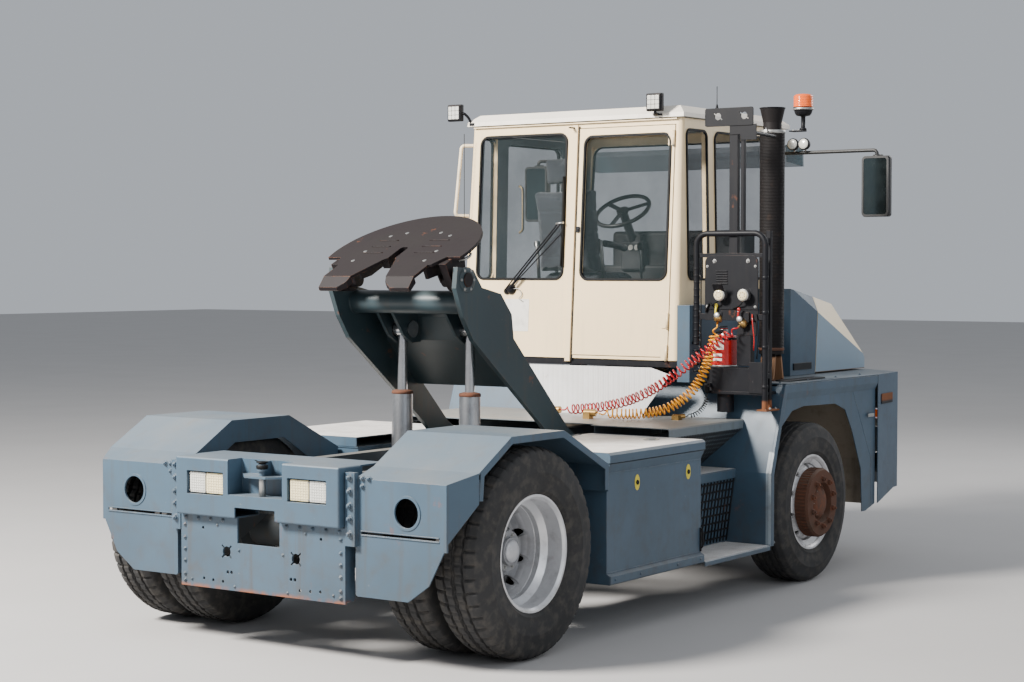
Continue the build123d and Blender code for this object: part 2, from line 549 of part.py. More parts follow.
def hull_section(z, inset):
    t = lean(z)
    hw = CAB_HW[0] + (CAB_HW[1] - CAB_HW[0]) * t - inset
    x0, x1 = CAB_X[0] + CAB_LEAN[0] * t + inset, CAB_X[1] + CAB_LEAN[1] * t - inset
    return make_face(Polyline((x0, CAB_Y - hw, z), (x1, CAB_Y - hw, z), (x1, CAB_Y + hw, z), (x0, CAB_Y + hw, z),
                              close=True))


FLOOR_Z = CAB_Z[0] + 40
save("cab_floor", box(CAB_X[0] + 10, CAB_X[1] - 5, CAB_Y - 826, CAB_Y + 826, CAB_Z[0], FLOOR_Z))


def hull(inset, extra=0.0, corner=0.0):
    body = loft([hull_section(FLOOR_Z + 2 - extra, inset), hull_section(CAB_Z[1] + extra, inset)], ruled=True)
    if corner:
        upright = [e for e in body.edges() if abs((e % 0.5).Z) > 0.9]
        body = fillet(upright, corner)
    return body


# openings: x0, x1, y0, y1, z0, z1
WINDOW_Z = (1895, 2841)
DOOR_Z = (FLOOR_Z + 20, 2868)
REAR_WIN = (2400, 2680, 256, 945) + WINDOW_Z
REAR_DOOR = (2400, 2680, -548, 168) + DOOR_Z
RIGHT_WIN_A = (2625, 2893, -720, -520) + WINDOW_Z
RIGHT_WIN_B = (2986, 3749, -720, -520) + WINDOW_Z
LEFT_DOOR = (2903, 3697, 950, 1150) + DOOR_Z
LEFT_WIN = (2625, 2821, 950, 1150) + WINDOW_Z
SCREEN = (3790, 4060, -505, 938) + WINDOW_Z
REAR_GLASS = (2400, 2680, -520, 124, 1893, 2815)
SIDE_GLASS = (2965, 3636, 950, 1150, 1780, 2815)
walls = hull(0, corner=34) - hull(WALL, 1.0, corner=6)
for cut in (REAR_WIN, REAR_DOOR, RIGHT_WIN_A, RIGHT_WIN_B, LEFT_DOOR, LEFT_WIN, SCREEN):
    walls -= box(*cut)
save("cab_walls", walls)

roof = loft([hull_section(CAB_Z[1] + 3, -25), hull_section(CAB_Z[1] + 30, -25)], ruled=True)
roof += loft([hull_section(CAB_Z[1] + 30, -25), hull_section(CAB_Z[1] + 78, 35)], ruled=True)
save("cab_roof", roof)


def wall_slab(opening, gap, depth_out, depth_in):
    """Piece of the cab's shell in an opening, between two depths from the outer face."""
    x0, x1, y0, y1, z0, z1 = opening
    if x1 - x0 < 300:
        area = box(x0, x1, y0 + gap, y1 - gap, z0 + gap, z1 - gap)
    else:
        area = box(x0 + gap, x1 - gap, y0, y1, z0 + gap, z1 - gap)
    return (hull(depth_out) - hull(depth_in, 1.0)) & area


save("rear_door", wall_slab(REAR_DOOR, 4.5, -4, 30) - box(*REAR_GLASS))
save("side_door", wall_slab(LEFT_DOOR, 4.5, -4, 30) - box(*SIDE_GLASS))
save("door_glass_rear", wall_slab(REAR_GLASS, 0.5, 8, 14))
save("door_glass_side", wall_slab(SIDE_GLASS, 0.5, 8, 14))
panes = [wall_slab(REAR_WIN, 0.5, 10, 16), wall_slab(SCREEN, 0.5, 10, 16)]
for x0, x1, y0, y1, z0, z1 in (RIGHT_WIN_A, RIGHT_WIN_B, LEFT_WIN):
    panes.append((hull(10) - hull(16, 1.0)) & box(x0 + 0.5, x1 - 0.5, y0, y1, z0 + 0.5, z1 - 0.5))
save("cab_glass", panes)

SEAT_Y = 360.0
seat = rbox(2750, 3230, SEAT_Y - 250, SEAT_Y + 250, 1810, 1930, 35)
seat += Pos(2740, SEAT_Y, 2210) * Rot(0, -8, 0) * fillet(Box(110, 510, 600).edges(), 35)
seat += Pos(2688, SEAT_Y, 2600) * Rot(0, -8, 0) * fillet(Box(84, 290, 200).edges(), 25)
seat += rod((2702, SEAT_Y, 2480), (2692, SEAT_Y, 2560), 15)
seat += rbox(2810, 3150, SEAT_Y - 170, SEAT_Y + 170, FLOOR_Z + 1, 1816, 8)
save("seat", seat)

WHEEL_MID = Vector(3420.0, SEAT_Y, 2360.0)
WHEEL_DIR = Vector(-130, 0, 190).normalized()
dash = rbox(3560, 3775, -480, 900, FLOOR_Z + 1, 1990, 20)
dash += rbox(3600, 3775, -480, 560, 1960, 2225, 30)
dash += rbox(3530, 3640, SEAT_Y - 90, SEAT_Y + 90, 1950, 2160, 20)
dash += rod(tuple(WHEEL_MID - WHEEL_DIR * 330), tuple(WHEEL_MID - WHEEL_DIR * 16), 30)
save("dash", dash)
wheel_plane = Plane(origin=WHEEL_MID, x_dir=(0, 1, 0), z_dir=WHEEL_DIR)
steering = wheel_plane * Torus(190, 14) + wheel_plane * Cylinder(42, 20)
for turn in (0, 120, 240):
    steering += wheel_plane * Rot(0, 0, turn) * Pos(0, 108, 0) * Box(30, 170, 10)
save("steering_wheel", steering)

# ------------------------------------------------------ right-hand equipment
STACK = (3000.0, -1000.0)
stack = rod((*STACK, 1430), (*STACK, 2830), 78) + rod((*STACK, 2828), (*STACK, 2900), 58)
stack += loft([Plane(origin=(*STACK, 2880)) * Circle(58), Plane(origin=(*STACK, 2975)) * Circle(80)], ruled=True)
stack -= loft([Plane(origin=(*STACK, 2886)) * Circle(52), Plane(origin=(*STACK, 2976)) * Circle(74)], ruled=True)
stack += prism([(2925, 1263), (3075, 1263), (3040, 1440), (2960, 1440)], "y", STACK[1] - 50, STACK[1] + 50)
stack -= prism([(2940, 1255), (3060, 1255), (3030, 1425), (2970, 1425)], "y", STACK[1] - 60, STACK[1] + 44)
save("exhaust", stack)

RACK_X = 2500.0
HOOP_Y = (-1216.0, -742.0)
HOOP_Z = 2180.0
rack = bent_rod([(RACK_X, HOOP_Y[1], 1500), (RACK_X, HOOP_Y[1], HOOP_Z), (RACK_X, HOOP_Y[0], HOOP_Z),
                 (RACK_X, HOOP_Y[0], 1110)], 18, 75)
# panels in the hoop: Y and Z of each, X of the rear and front faces
PANELS = ((-1167, -803, 1717, 2000, 2496, 2506), (-1167, -803, 1650, 1719, 2500, 2508),
          (-1207, -1110, 1210, 1400, 2494, 2502), (-1112, -1017, 1375, 1570, 2512, 2560),
          (-1200, -750, 1655, 1690, 2500, 2512), (-1200, -750, 2035, 2060, 2500, 2512))
for y0, y1, z0, z1, x0, x1 in PANELS:
    rack += box(x0, x1, y0, y1, z0, z1)
rack += rbox(2496, 2506, -1167, -803, 1900, 2046, 45, Axis.X)
rack += box(2511, 2517, -1150, -1020, 1560, 1700)
# holder for the extinguisher and the shelf under it
rack += box(2510, 2562, -1110, -845, 1215, 1360) + box(2560, 2676, -1110, -782, 1215, 1360)
rack += box(2526, 2676, -1200, -790, 1199, 1216) + box(2500, 2530, -1212, -850, 1199, 1216)
# second post behind the right leg, and the foot on the slanted wall
rack += rbox(2585, 2615, -1205, -1175, 1140, 2197, 4, Axis.Z)
rack += box(2500, 2590, -1200, -1190, 2120, 2150) + box(2500, 2590, -1204, -1192, 1300, 1330)
rack += box(2478, 2646, -1240, -1172, 1104, 1114) + box(2585, 2615, -1205, -1175, 1110, 1145)
rack += box(2490, 2510, -745, -717, 1500, 1516)
# mast with its slotted plate, and the stay to the exhaust
rack += box(2504, 2534, -1022, -966, 2040, 2840) + box(2504, 2534, -1064, -1044, 2160, 2840)
head = rbox(2496, 2504, -1130, -799, 2833, 2944, 12, Axis.X)
for y in (-888, -1068):
    head -= rod((2480, y, 2893), (2520, y, 2893), 22)
    head -= Pos(2500, y, 2893) * Rot(35, 0, 0) * Box(40, 72, 8)
rack += head + box(2500, 2506, -1150, -1042, 2745, 2840) + box(2500, 2530, -1066, -968, 2780, 2840)
rack += rod((2504, -1120, 2790), (2920, -1054, 2790), 12)
# two sockets on the panel, an open flap on one
for y, r in ((-925, 33), (-1088, 30)):
    rack += rod((2452, y, 1806), (2500, y, 1806), r)
rack += Pos(2440, -925, 1850) * Rot(0, -35, 0) * Box(8, 66, 60)
rack += rod((2580, -903, 1085), (2580, -903, 1202), 52)

# -------------------------------------------------------------------- cords
YELLOW = [(2500, -890, 1640), (2473, -873, 1506), (2444, -849, 1374), (2403, -804, 1252), (2345, -727, 1154),
          (2278, -625, 1094), (2212, -508, 1076), (2161, -380, 1076), (2125, -248, 1077)]
RED = [(2480, -1056, 1619), (2392, -952, 1516), (2325, -830, 1417), (2292, -700, 1312), (2278, -557, 1220),
       (2270, -401, 1151), (2264, -236, 1110), (2259, -67, 1087), (2255, 103, 1076)]
BLACK = [(2500, -818, 1210), (2500, -818, 1185.4), (2493, -812.7, 1140.3), (2473.6, -798, 1101.4),
         (2444.5, -775.8, 1073.8), (2409.4, -749.2, 1061.1), (2382, -728.3, 1061.1)]


def corner_radii(points):
    """Radius at each corner: 0.45 of the shorter run over the tangent of half the turn."""
    v = [Vector(*p) for p in points]
    radii = []
    for a, b, c in zip(v[:-2], v[1:-1], v[2:]):
        turn = math.radians((b - a).get_angle(c - b))
        radii.append(0.45 * min((b - a).length, (c - b).length) / math.tan(turn / 2))
    return radii


def cord_tube(name, points, radius):
    radii = corner_radii(points)
    line = FilletPolyline(*points, radius=radii)
    shape = sweep(Plane(origin=line @ 0, z_dir=line % 0) * Circle(radius), path=line)
    print(name, "length", round(line.length), "radii", [round(r) for r in radii],
          "volume ratio", round(shape.volume / (math.pi * radius ** 2 * line.length), 4))
    return shape


save("hose_yellow", cord_tube("hose_yellow", YELLOW, COIL_R))
save("hose_red", cord_tube("hose_red", RED, COIL_R))
save("cable_black", cord_tube("cable_black", BLACK, CABLE_R))

# couplings at the rack that the cords leave
for points, r in ((YELLOW, 22.0), (RED, 22.0)):
    a, b = Vector(*points[0]), Vector(*points[1])
    back = (a - b).normalized()
    rack += rod(tuple(a), tuple(a + back * 50), r)
    top = a + back * 46
    rack += box(top.X - 14, 2510, top.Y - 26, top.Y + 26, top.Z - 6, 1700)
rack += rod(BLACK[0], (BLACK[0][0], BLACK[0][1], BLACK[0][2] + 46), 14)
rack += box(2486, 2562, -846, -806, 1240, 1262)
save("coupling_rack", rack)

# fixed couplings on the deck that they enter
glands = []
for points, r in ((YELLOW, 22.0), (RED, 22.0), (BLACK, 14.0)):
    a, b = Vector(*points[-2]), Vector(*points[-1])
    way = (b - a).normalized()
    end = b + way * 76
    gland = rod(tuple(b), tuple(end), r)
    mid = b + way * 52
    gland += box(mid.X - 24, mid.X + 24, mid.Y - 24, mid.Y + 24, DECK_Z[0] + 0.4, b.Z + 6)
    glands.append(gland & box(1900, 2600, -1000, 400, DECK_Z[0] + 0.4, 1200))
save("hose_couplings", glands)

EXT = (2605.0, -878.0)
extinguisher = fillet(rod((*EXT, 1361), (*EXT, 1555), 85).edges(), 16)
save("extinguisher", extinguisher + rod((*EXT, 1550), (*EXT, 1600), 24))

# tread plate under the cab's rear edge, (Y, Z)
TREAD = [(466, DECK_Z[0] + 1), (466, 1346), (-447, 1348), (-584, 1308), (-405, 1083), (-380, DECK_Z[0] + 1)]
tread = prism(TREAD, "x", 2448, 2454)
for y in (-360, 60, 430):
    tread += box(2452, 2482, y - 3, y + 3, DECK_Z[0] + 1, 1340)
save("tread_cover", tread)

mirror_right = rbox(3872, 3930, -1400, -1205, 2306, 2706, 18)
mirror_right += bent_rod([(3905, -1300, 2690), (3905, -1300, 2744), (3915, -612, 2744)], 12, 25)
mirror_left = rbox(3752, 3810, 1205, 1400, 2306, 2706, 18)
mirror_left += bent_rod([(3785, 1303, 2690), (3785, 1303, 2744), (3915, 1045, 2744)], 12, 25)
handrail = bent_rod([(2622, 1042, 2789), (2580, 1110, 2789), (2512, 1115, 2318), (2580, 1052, 2318)], 12, 24)
save("mirrors_rails", mirror_right, mirror_left, handrail)

beacon = rod((4020, -705, 3055), (4020, -705, 3150), 68) + rod((4020, -705, 3005), (4020, -705, 3058), 62)
beacon += rod((4020, -705, 2900), (4020, -705, 3010), 16)
beacon += box(3965, 4030, -712, -622, 2896, 2904)
lamps = [beacon]
for y in (1115, -430):
    lamps.append(rbox(2494, 2536, y - 56, y + 56, 2944, 3062, 10))
lamps[1] += box(2532, 2544, 1000, 1130, 2990, 3002)
save("roof_lamps", lamps)

# sun visor in front of the screen, X and Z
VISOR = [(3992, 2806), (4200, 2786), (4206, 2668)]
VISOR_SIDE = [(3940, 2806), (3992, 2806), (4200, 2786), (4206, 2668), (3960, 2690)]
visor = sheet(VISOR, -5, "y", -612, 1042)
for y0, y1 in ((-618, -612), (1042, 1048)):
    visor += prism(VISOR_SIDE, "y", y0, y1)
save("sun_visor", visor)
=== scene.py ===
import math
import random

import bmesh
import bpy
from mathutils import Matrix, Vector


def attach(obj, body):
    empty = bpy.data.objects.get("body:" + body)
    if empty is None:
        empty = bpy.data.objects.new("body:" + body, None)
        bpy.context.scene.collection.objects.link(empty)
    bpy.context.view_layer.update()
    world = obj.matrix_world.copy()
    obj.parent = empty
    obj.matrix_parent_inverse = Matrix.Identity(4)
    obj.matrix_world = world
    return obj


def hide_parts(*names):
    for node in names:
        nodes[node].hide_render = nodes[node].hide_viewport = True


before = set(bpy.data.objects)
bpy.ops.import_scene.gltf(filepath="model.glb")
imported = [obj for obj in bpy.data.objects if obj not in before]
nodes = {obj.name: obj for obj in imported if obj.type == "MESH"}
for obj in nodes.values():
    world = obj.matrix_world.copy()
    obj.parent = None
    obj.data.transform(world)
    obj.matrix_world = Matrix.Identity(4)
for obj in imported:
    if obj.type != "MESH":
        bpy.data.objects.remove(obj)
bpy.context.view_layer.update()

random.seed(7)
OFF = 2004.0


def V(x, y, z):
    """Point in mm, X from the rear axle, to metres in the row frame."""
    return Vector(((x - OFF) / 1000.0, y / 1000.0, z / 1000.0))


# --------------------------------------------------------------------- camera
cam_data = bpy.data.cameras.new("camera")
cam_data.lens = 69.8
cam_data.sensor_width = 36.0
cam_data.clip_end = 200.0
cam = bpy.data.objects.new("camera", cam_data)
bpy.context.scene.collection.objects.link(cam)
cam.location = (-10.204, -6.795, 1.968)
YAW, PITCH = 0.6075, -0.0366
look = Vector((math.cos(YAW) * math.cos(PITCH), math.sin(YAW) * math.cos(PITCH), math.sin(PITCH)))
cam.rotation_mode = "QUATERNION"
cam.rotation_quaternion = look.to_track_quat("-Z", "Y")
bpy.context.scene.camera = cam


# ---------------------------------------------------------------------- cords
def route_points(name, points, order=3):
    """Points along the NURBS spline whose control points are the route."""
    c = bpy.data.curves.new(name, "CURVE")
    c.dimensions = "3D"
    c.resolution_u = 64
    s = c.splines.new("NURBS")
    s.points.add(len(points) - 1)
    for p, q in zip(s.points, points):
        p.co = (*V(*q), 1.0)
    s.order_u = order
    s.use_endpoint_u = True
    o = bpy.data.objects.new(name, c)
    bpy.context.scene.collection.objects.link(o)
    bpy.context.view_layer.update()
    m = bpy.data.meshes.new_from_object(o)
    out = [v.co.copy() for v in m.vertices]
    bpy.data.objects.remove(o)
    bpy.data.meshes.remove(m)
    return out


def along(points):
    s = [0.0]
    for a, b in zip(points[:-1], points[1:]):
        s.append(s[-1] + (b - a).length)
    return s


def at(points, dist, t):
    """Point and direction at distance t along a line."""
    lo, hi = 0, len(dist) - 1
    while hi - lo > 1:
        mid = (lo + hi) // 2
        if dist[mid] <= t:
            lo = mid
        else:
            hi = mid
    f = (t - dist[lo]) / max(dist[hi] - dist[lo], 1e-9)
    return points[lo].lerp(points[hi], min(max(f, 0.0), 1.0)), (points[hi] - points[lo]).normalized()


def smooth(t):
    t = min(max(t, 0.0), 1.0)
    return t * t * (3 - 2 * t)


def helix(points, radius, pitch, lead, steps=16, phase=0.0):
    """Centre line of a curly cord: the turn starts and ends on the route."""
    dist = along(points)
    total = dist[-1]
    up = Vector((0.3, 0.2, 1.0))
    out, s, angle = [], 0.0, phase
    normal = None
    while True:
        centre, way = at(points, dist, min(s, total))
        if normal is None:
            normal = (up - way * up.dot(way)).normalized()
        else:
            normal = (normal - way * normal.dot(way)).normalized()
        side = way.cross(normal)
        end = min(s, total - s)
        rho = radius * smooth(end / lead)
        loose = smooth((end - lead * 0.55) / (lead * 0.45))
        here = 0.070 + (pitch - 0.070) * loose
        here *= 1.0 + 0.16 * math.sin(s * 41.0 + phase) * loose
        out.append(centre + (normal * math.cos(angle) + side * math.sin(angle)) * rho)
        if s >= total:
            break
        s += here / steps
        angle += 2 * math.pi / steps
        if s > total:
            s = total
    return out


def cord_piece(name, points, thick, body):
    """Round strand along the points, as a mesh, with its centre line."""
    c = bpy.data.curves.new(name, "CURVE")
    c.dimensions = "3D"
    c.resolution_u = 2
    c.use_fill_caps = True
    s = c.splines.new("NURBS")
    s.points.add(len(points) - 1)
    for p, q in zip(s.points, points):
        p.co = (*q, 1.0)
    s.order_u = 3
    s.use_endpoint_u = True
    curve = bpy.data.objects.new(name + "_line", c)
    bpy.context.scene.collection.objects.link(curve)
    bpy.context.view_layer.update()
    centre = bpy.data.meshes.new_from_object(curve)
    line = [v.co.copy() for v in centre.vertices]
    bpy.data.meshes.remove(centre)
    c.bevel_depth = thick / 2
    c.bevel_resolution = 2
    curve.update_tag()
    bpy.context.view_layer.update()
    tube = bpy.data.meshes.new_from_object(curve)
    bpy.data.objects.remove(curve)
    for f in tube.polygons:
        f.use_smooth = True
    o = bpy.data.objects.new(name, tube)
    bpy.context.scene.collection.objects.link(o)
    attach(o, body)
    return o, line


YELLOW = [(2500, -890, 1640), (2473, -873, 1506), (2444, -849, 1374), (2403, -804, 1252), (2345, -727, 1154),
          (2278, -625, 1094), (2212, -508, 1076), (2161, -380, 1076), (2125, -248, 1077)]
RED = [(2480, -1056, 1619), (2392, -952, 1516), (2325, -830, 1417), (2292, -700, 1312), (2278, -557, 1220),
       (2270, -401, 1151), (2264, -236, 1110), (2259, -67, 1087), (2255, 103, 1076)]
BLACK = [(2500, -818, 1210), (2500, -818, 1185.4), (2493, -812.7, 1140.3), (2473.6, -798, 1101.4),
         (2444.5, -775.8, 1073.8), (2409.4, -749.2, 1061.1), (2382, -728.3, 1061.1)]

cords = {}
for cname, route, radius, thick, pitch, lead, phase in (
        ("hose_yellow", YELLOW, 0.0285, 0.0095, 0.0255, 0.105, 0.4),
        ("hose_red", RED, 0.0285, 0.0100, 0.0300, 0.105, 2.1),
        ("cable_black", BLACK, 0.0130, 0.0060, 0.0150, 0.045, 1.0)):
    line = route_points(cname + "_route", route)
    coil = helix(line, radius, pitch, lead, phase=phase)
    piece, centre = cord_piece("cord_" + cname, coil, thick, "chassis")
    length = along(centre)[-1]
    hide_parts(cname)
    tuple(line[0])
    [tuple(p) for p in centre]
    print("cord", cname, "route", round(along(line)[-1], 3), "strand", round(length, 3))
    cords[cname] = piece


# ------------------------------------------------------------------ materials
def lin(r, g, b):
    return tuple(((c / 255.0) / 12.92 if c / 255.0 <= 0.04045 else ((c / 255.0 + 0.055) / 1.055) ** 2.4)
                 for c in (r, g, b)) + (1.0,)


class Mat:
    def __init__(self, name):
        self.m = bpy.data.materials.new(name)
        self.m.use_nodes = True
        self.nt = self.m.node_tree
        self.nt.nodes.clear()
        self.out = self.new("ShaderNodeOutputMaterial")
        self.b = self.new("ShaderNodeBsdfPrincipled")
        self.link(self.b.outputs[0], self.out.inputs[0])
        tc = self.new("ShaderNodeTexCoord")
        self.co = tc.outputs["Object"]
        self.n = self.sep(tc.outputs["Normal"])
        self.p = self.sep(self.co)

    def new(self, kind):
        return self.nt.nodes.new(kind)

    def link(self, a, b):
        self.nt.links.new(a, b)

    def put(self, socket, value):
        if isinstance(value, bpy.types.NodeSocket):
            self.link(value, socket)
        else:
            socket.default_value = value

    def sep(self, v):
        s = self.new("ShaderNodeSeparateXYZ")
        self.link(v, s.inputs[0])
        return s.outputs

    def calc(self, op, a, b=None, clamp=False):
        n = self.new("ShaderNodeMath")
        n.operation = op
        n.use_clamp = clamp
        self.put(n.inputs[0], a)
        if b is not None:
            self.put(n.inputs[1], b)
        return n.outputs[0]

    def scaled(self, x, y, z):
        n = self.new("ShaderNodeMapping")
        n.inputs["Scale"].default_value = (x, y, z)
        self.link(self.co, n.inputs["Vector"])
        return n.outputs[0]

    def noise(self, scale, detail=5.0, rough=0.55, vec=None, distort=0.0):
        n = self.new("ShaderNodeTexNoise")
        n.inputs["Scale"].default_value = scale
        n.inputs["Detail"].default_value = detail
        n.inputs["Roughness"].default_value = rough
        n.inputs["Distortion"].default_value = distort
        self.link(vec if vec is not None else self.co, n.inputs["Vector"])
        return n.outputs[0]

    def step(self, v, lo, hi, a=0.0, b=1.0):
        n = self.new("ShaderNodeMapRange")
        n.interpolation_type = "SMOOTHSTEP"
        self.put(n.inputs["Value"], v)
        for key, val in (("From Min", lo), ("From Max", hi), ("To Min", a), ("To Max", b)):
            n.inputs[key].default_value = val
        return n.outputs[0]

    def mix(self, fac, a, b):
        n = self.new("ShaderNodeMix")
        n.data_type = "RGBA"
        self.put(n.inputs[0], fac)
        self.put(n.inputs[6], a)
        self.put(n.inputs[7], b)
        return n.outputs[2]

    def bump(self, height, strength, distance=0.002, normal=None):
        n = self.new("ShaderNodeBump")
        n.inputs["Strength"].default_value = strength
        n.inputs["Distance"].default_value = distance
        self.link(height, n.inputs["Height"])
        if normal is not None:
            self.link(normal, n.inputs["Normal"])
        return n.outputs[0]

    def edge(self, radius=0.004, lo=0.02, hi=0.16):
        bev = self.new("ShaderNodeBevel")
        bev.samples = 3
        bev.inputs["Radius"].default_value = radius
        geo = self.new("ShaderNodeNewGeometry")
        dot = self.new("ShaderNodeVectorMath")
        dot.operation = "DOT_PRODUCT"
        self.link(bev.outputs[0], dot.inputs[0])
        self.link(geo.outputs["Normal"], dot.inputs[1])
        self.round_normal = bev.outputs[0]
        return self.step(self.calc("SUBTRACT", 1.0, dot.outputs["Value"]), lo, hi)


def paint(name, base, rough=0.42, metal=0.0, vary=0.16, grime=(74, 66, 56), grime_amt=0.30, streak=0.25,
          wear=(150, 152, 150), wear_amt=0.55, rust_amt=0.25, rust_low=None, dust=0.25, dust_col=(176, 168, 154),
          bump=0.12, regions=(), edge=True, chips=0.15, coat=0.0, spec=0.5):
    """Weathered paint. regions: (mask builder, colour, roughness or None) laid over the base colour."""
    m = Mat(name)
    m.b.inputs["Specular IOR Level"].default_value = spec
    big, mid, fine = m.noise(1.7, 4), m.noise(11.0, 6, 0.62), m.noise(140.0, 3)
    col = lin(*base)
    dark = tuple(c * (1 - vary) for c in col[:3]) + (1.0,)
    colour = m.mix(m.step(big, 0.35, 0.68), col, dark)
    r = m.calc("ADD", rough - 0.08, m.calc("MULTIPLY", mid, 0.2))
    for mask, value, rough_here in regions:
        k = mask(m)
        colour = m.mix(k, colour, value if isinstance(value, bpy.types.NodeSocket) else lin(*value))
        if rough_here is not None:
            r = m.calc("ADD", m.calc("MULTIPLY", r, m.calc("SUBTRACT", 1.0, k)), m.calc("MULTIPLY", k, rough_here))
    up = m.step(m.n[2], 0.45, 0.9)
    flat = m.calc("SUBTRACT", 1.0, m.calc("ABSOLUTE", m.n[2]), clamp=True)
    run = m.noise(1.0, 4, 0.5, vec=m.scaled(26.0, 26.0, 1.1))
    colour = m.mix(m.calc("MULTIPLY", m.calc("MULTIPLY", m.step(run, 0.52, 0.74), flat), streak), colour, lin(*grime))
    colour = m.mix(m.calc("MULTIPLY", m.step(mid, 0.50, 0.78), grime_amt), colour, lin(*grime))
    colour = m.mix(m.calc("MULTIPLY", m.calc("MULTIPLY", up, m.step(big, 0.25, 0.75, 0.35, 1.0)), dust),
                   colour, lin(*dust_col))
    low = m.step(m.p[2], 0.95, 0.30)
    colour = m.mix(m.calc("MULTIPLY", m.calc("MULTIPLY", low, m.step(mid, 0.35, 0.7, 0.3, 1.0)), grime_amt * 0.8),
                   colour, lin(*grime))
    spots = m.noise(23.0, 8, 0.7)
    colour = m.mix(m.calc("MULTIPLY", m.step(spots, 0.665, 0.69), chips), colour, lin(*wear))
    if rust_amt or rust_low:
        where = m.step(m.noise(6.5, 8, 0.68), 0.635, 0.70)
        where = m.calc("MULTIPLY", where, rust_amt)
        if rust_low:
            band = m.calc("MULTIPLY", m.step(m.p[2], rust_low[1], rust_low[0]), m.step(mid, 0.40, 0.58))
            where = m.calc("MAXIMUM", where, band)
        colour = m.mix(where, colour, m.mix(mid, lin(70, 40, 26), lin(168, 98, 56)))
        r = m.calc("MAXIMUM", r, m.calc("MULTIPLY", where, 0.85))
    height = m.calc("ADD", m.calc("MULTIPLY", fine, 0.35), m.calc("MULTIPLY", mid, 0.65))
    if edge:
        e = m.edge()
        rub = m.calc("MULTIPLY", m.calc("MULTIPLY", e, m.step(m.noise(8.0, 6, 0.6), 0.46, 0.60)), wear_amt)
        colour = m.mix(rub, colour, m.mix(m.step(spots, 0.45, 0.6), lin(*wear), lin(120, 84, 60)))
        m.link(m.bump(height, bump, 0.0012, m.round_normal), m.b.inputs["Normal"])
    else:
        m.link(m.bump(height, bump, 0.0012), m.b.inputs["Normal"])
    m.link(colour, m.b.inputs["Base Color"])
    m.link(r, m.b.inputs["Roughness"])
    m.b.inputs["Metallic"].default_value = metal
    if coat:
        m.b.inputs["Coat Weight"].default_value = coat
        m.b.inputs["Coat Roughness"].default_value = 0.15
    return m.m


def tread_mask(m):
    """Five-bar pattern: short raised bars in a weave, as a height."""
    def bars(ax, ay):
        k = m.calc("ADD", m.calc("MULTIPLY", m.p[0], ax), m.calc("MULTIPLY", m.p[1], ay))
        return k
    a, b = bars(26.0, 26.0), bars(26.0, -26.0)
    cell = m.calc("MODULO", m.calc("ADD", m.calc("FLOOR", a), m.calc("ADD", m.calc("FLOOR", b), 4000.0)), 2.0)
    fa, fb = m.calc("FRACT", m.calc("ADD", a, 4000.0)), m.calc("FRACT", m.calc("ADD", b, 4000.0))
    la = m.calc("SINE", m.calc("MULTIPLY", fa, 18.85))
    lb = m.calc("SINE", m.calc("MULTIPLY", fb, 18.85))
    h = m.calc("ADD", m.calc("MULTIPLY", cell, la), m.calc("MULTIPLY", m.calc("SUBTRACT", 1.0, cell), lb))
    return m.step(h, 0.1, 0.8)


def plate(name, base=(214, 212, 208), dirt=(150, 140, 126), metallic=0.35):
    """Worn aluminium tread plate on upward faces, with dirt between the bars."""
    m = Mat(name)
    h = tread_mask(m)
    mid, big = m.noise(9.0, 6, 0.6), m.noise(1.9, 4)
    colour = m.mix(m.step(big, 0.3, 0.7), lin(*base), lin(*[c - 26 for c in base]))
    colour = m.mix(m.calc("MULTIPLY", m.calc("SUBTRACT", 1.0, h), m.step(mid, 0.3, 0.7, 0.15, 0.6)), colour, lin(*dirt))
    colour = m.mix(m.step(m.noise(5.0, 8, 0.7), 0.66, 0.74), colour, lin(126, 96, 70))
    m.link(colour, m.b.inputs["Base Color"])
    m.link(m.calc("ADD", 0.34, m.calc("MULTIPLY", mid, 0.25)), m.b.inputs["Roughness"])
    m.b.inputs["Metallic"].default_value = metallic
    m.link(m.bump(h, 0.7, 0.0015), m.b.inputs["Normal"])
    return m.m


def metal(name, base, rough=0.3, scratch=0.2, grime=0.2, stretch=(6, 6, 60), rust=0.0, metallic=0.95):
    m = Mat(name)
    line, mid = m.noise(9.0, 4, 0.6, vec=m.scaled(*stretch)), m.noise(13.0, 6, 0.6)
    colour = m.mix(m.calc("MULTIPLY", m.step(line, 0.4, 0.7), scratch), lin(*base), lin(*[c * 0.7 for c in base]))
    colour = m.mix(m.calc("MULTIPLY", m.step(mid, 0.52, 0.75), grime), colour, lin(70, 62, 54))
    if rust:
        colour = m.mix(m.calc("MULTIPLY", m.step(m.noise(21.0, 8, 0.7), 0.40, 0.62), rust), colour,
                       m.mix(mid, lin(66, 36, 24), lin(158, 92, 58)))
    m.link(colour, m.b.inputs["Base Color"])
    m.link(m.calc("ADD", rough, m.calc("MULTIPLY", mid, 0.2)), m.b.inputs["Roughness"])
    m.b.inputs["Metallic"].default_value = metallic
    m.link(m.bump(m.calc("ADD", line, mid), 0.15, 0.001), m.b.inputs["Normal"])
    return m.m


def rubber(name, base=(30, 30, 31), dust=(96, 90, 82), amt=0.35, rough=0.8, bump=0.25, spec=0.5):
    m = Mat(name)
    m.b.inputs["Specular IOR Level"].default_value = spec
    mid, fine, big = m.noise(16.0, 6, 0.6), m.noise(210.0, 3), m.noise(3.0, 4)
    colour = m.mix(m.step(big, 0.3, 0.7), lin(*base), lin(*[c * 1.35 for c in base]))
    colour = m.mix(m.calc("MULTIPLY", m.step(mid, 0.42, 0.72), amt), colour, lin(*dust))
    m.link(colour, m.b.inputs["Base Color"])
    m.link(m.calc("ADD", rough - 0.1, m.calc("MULTIPLY", mid, 0.2)), m.b.inputs["Roughness"])
    m.link(m.bump(m.calc("ADD", fine, mid), bump, 0.001), m.b.inputs["Normal"])
    return m.m


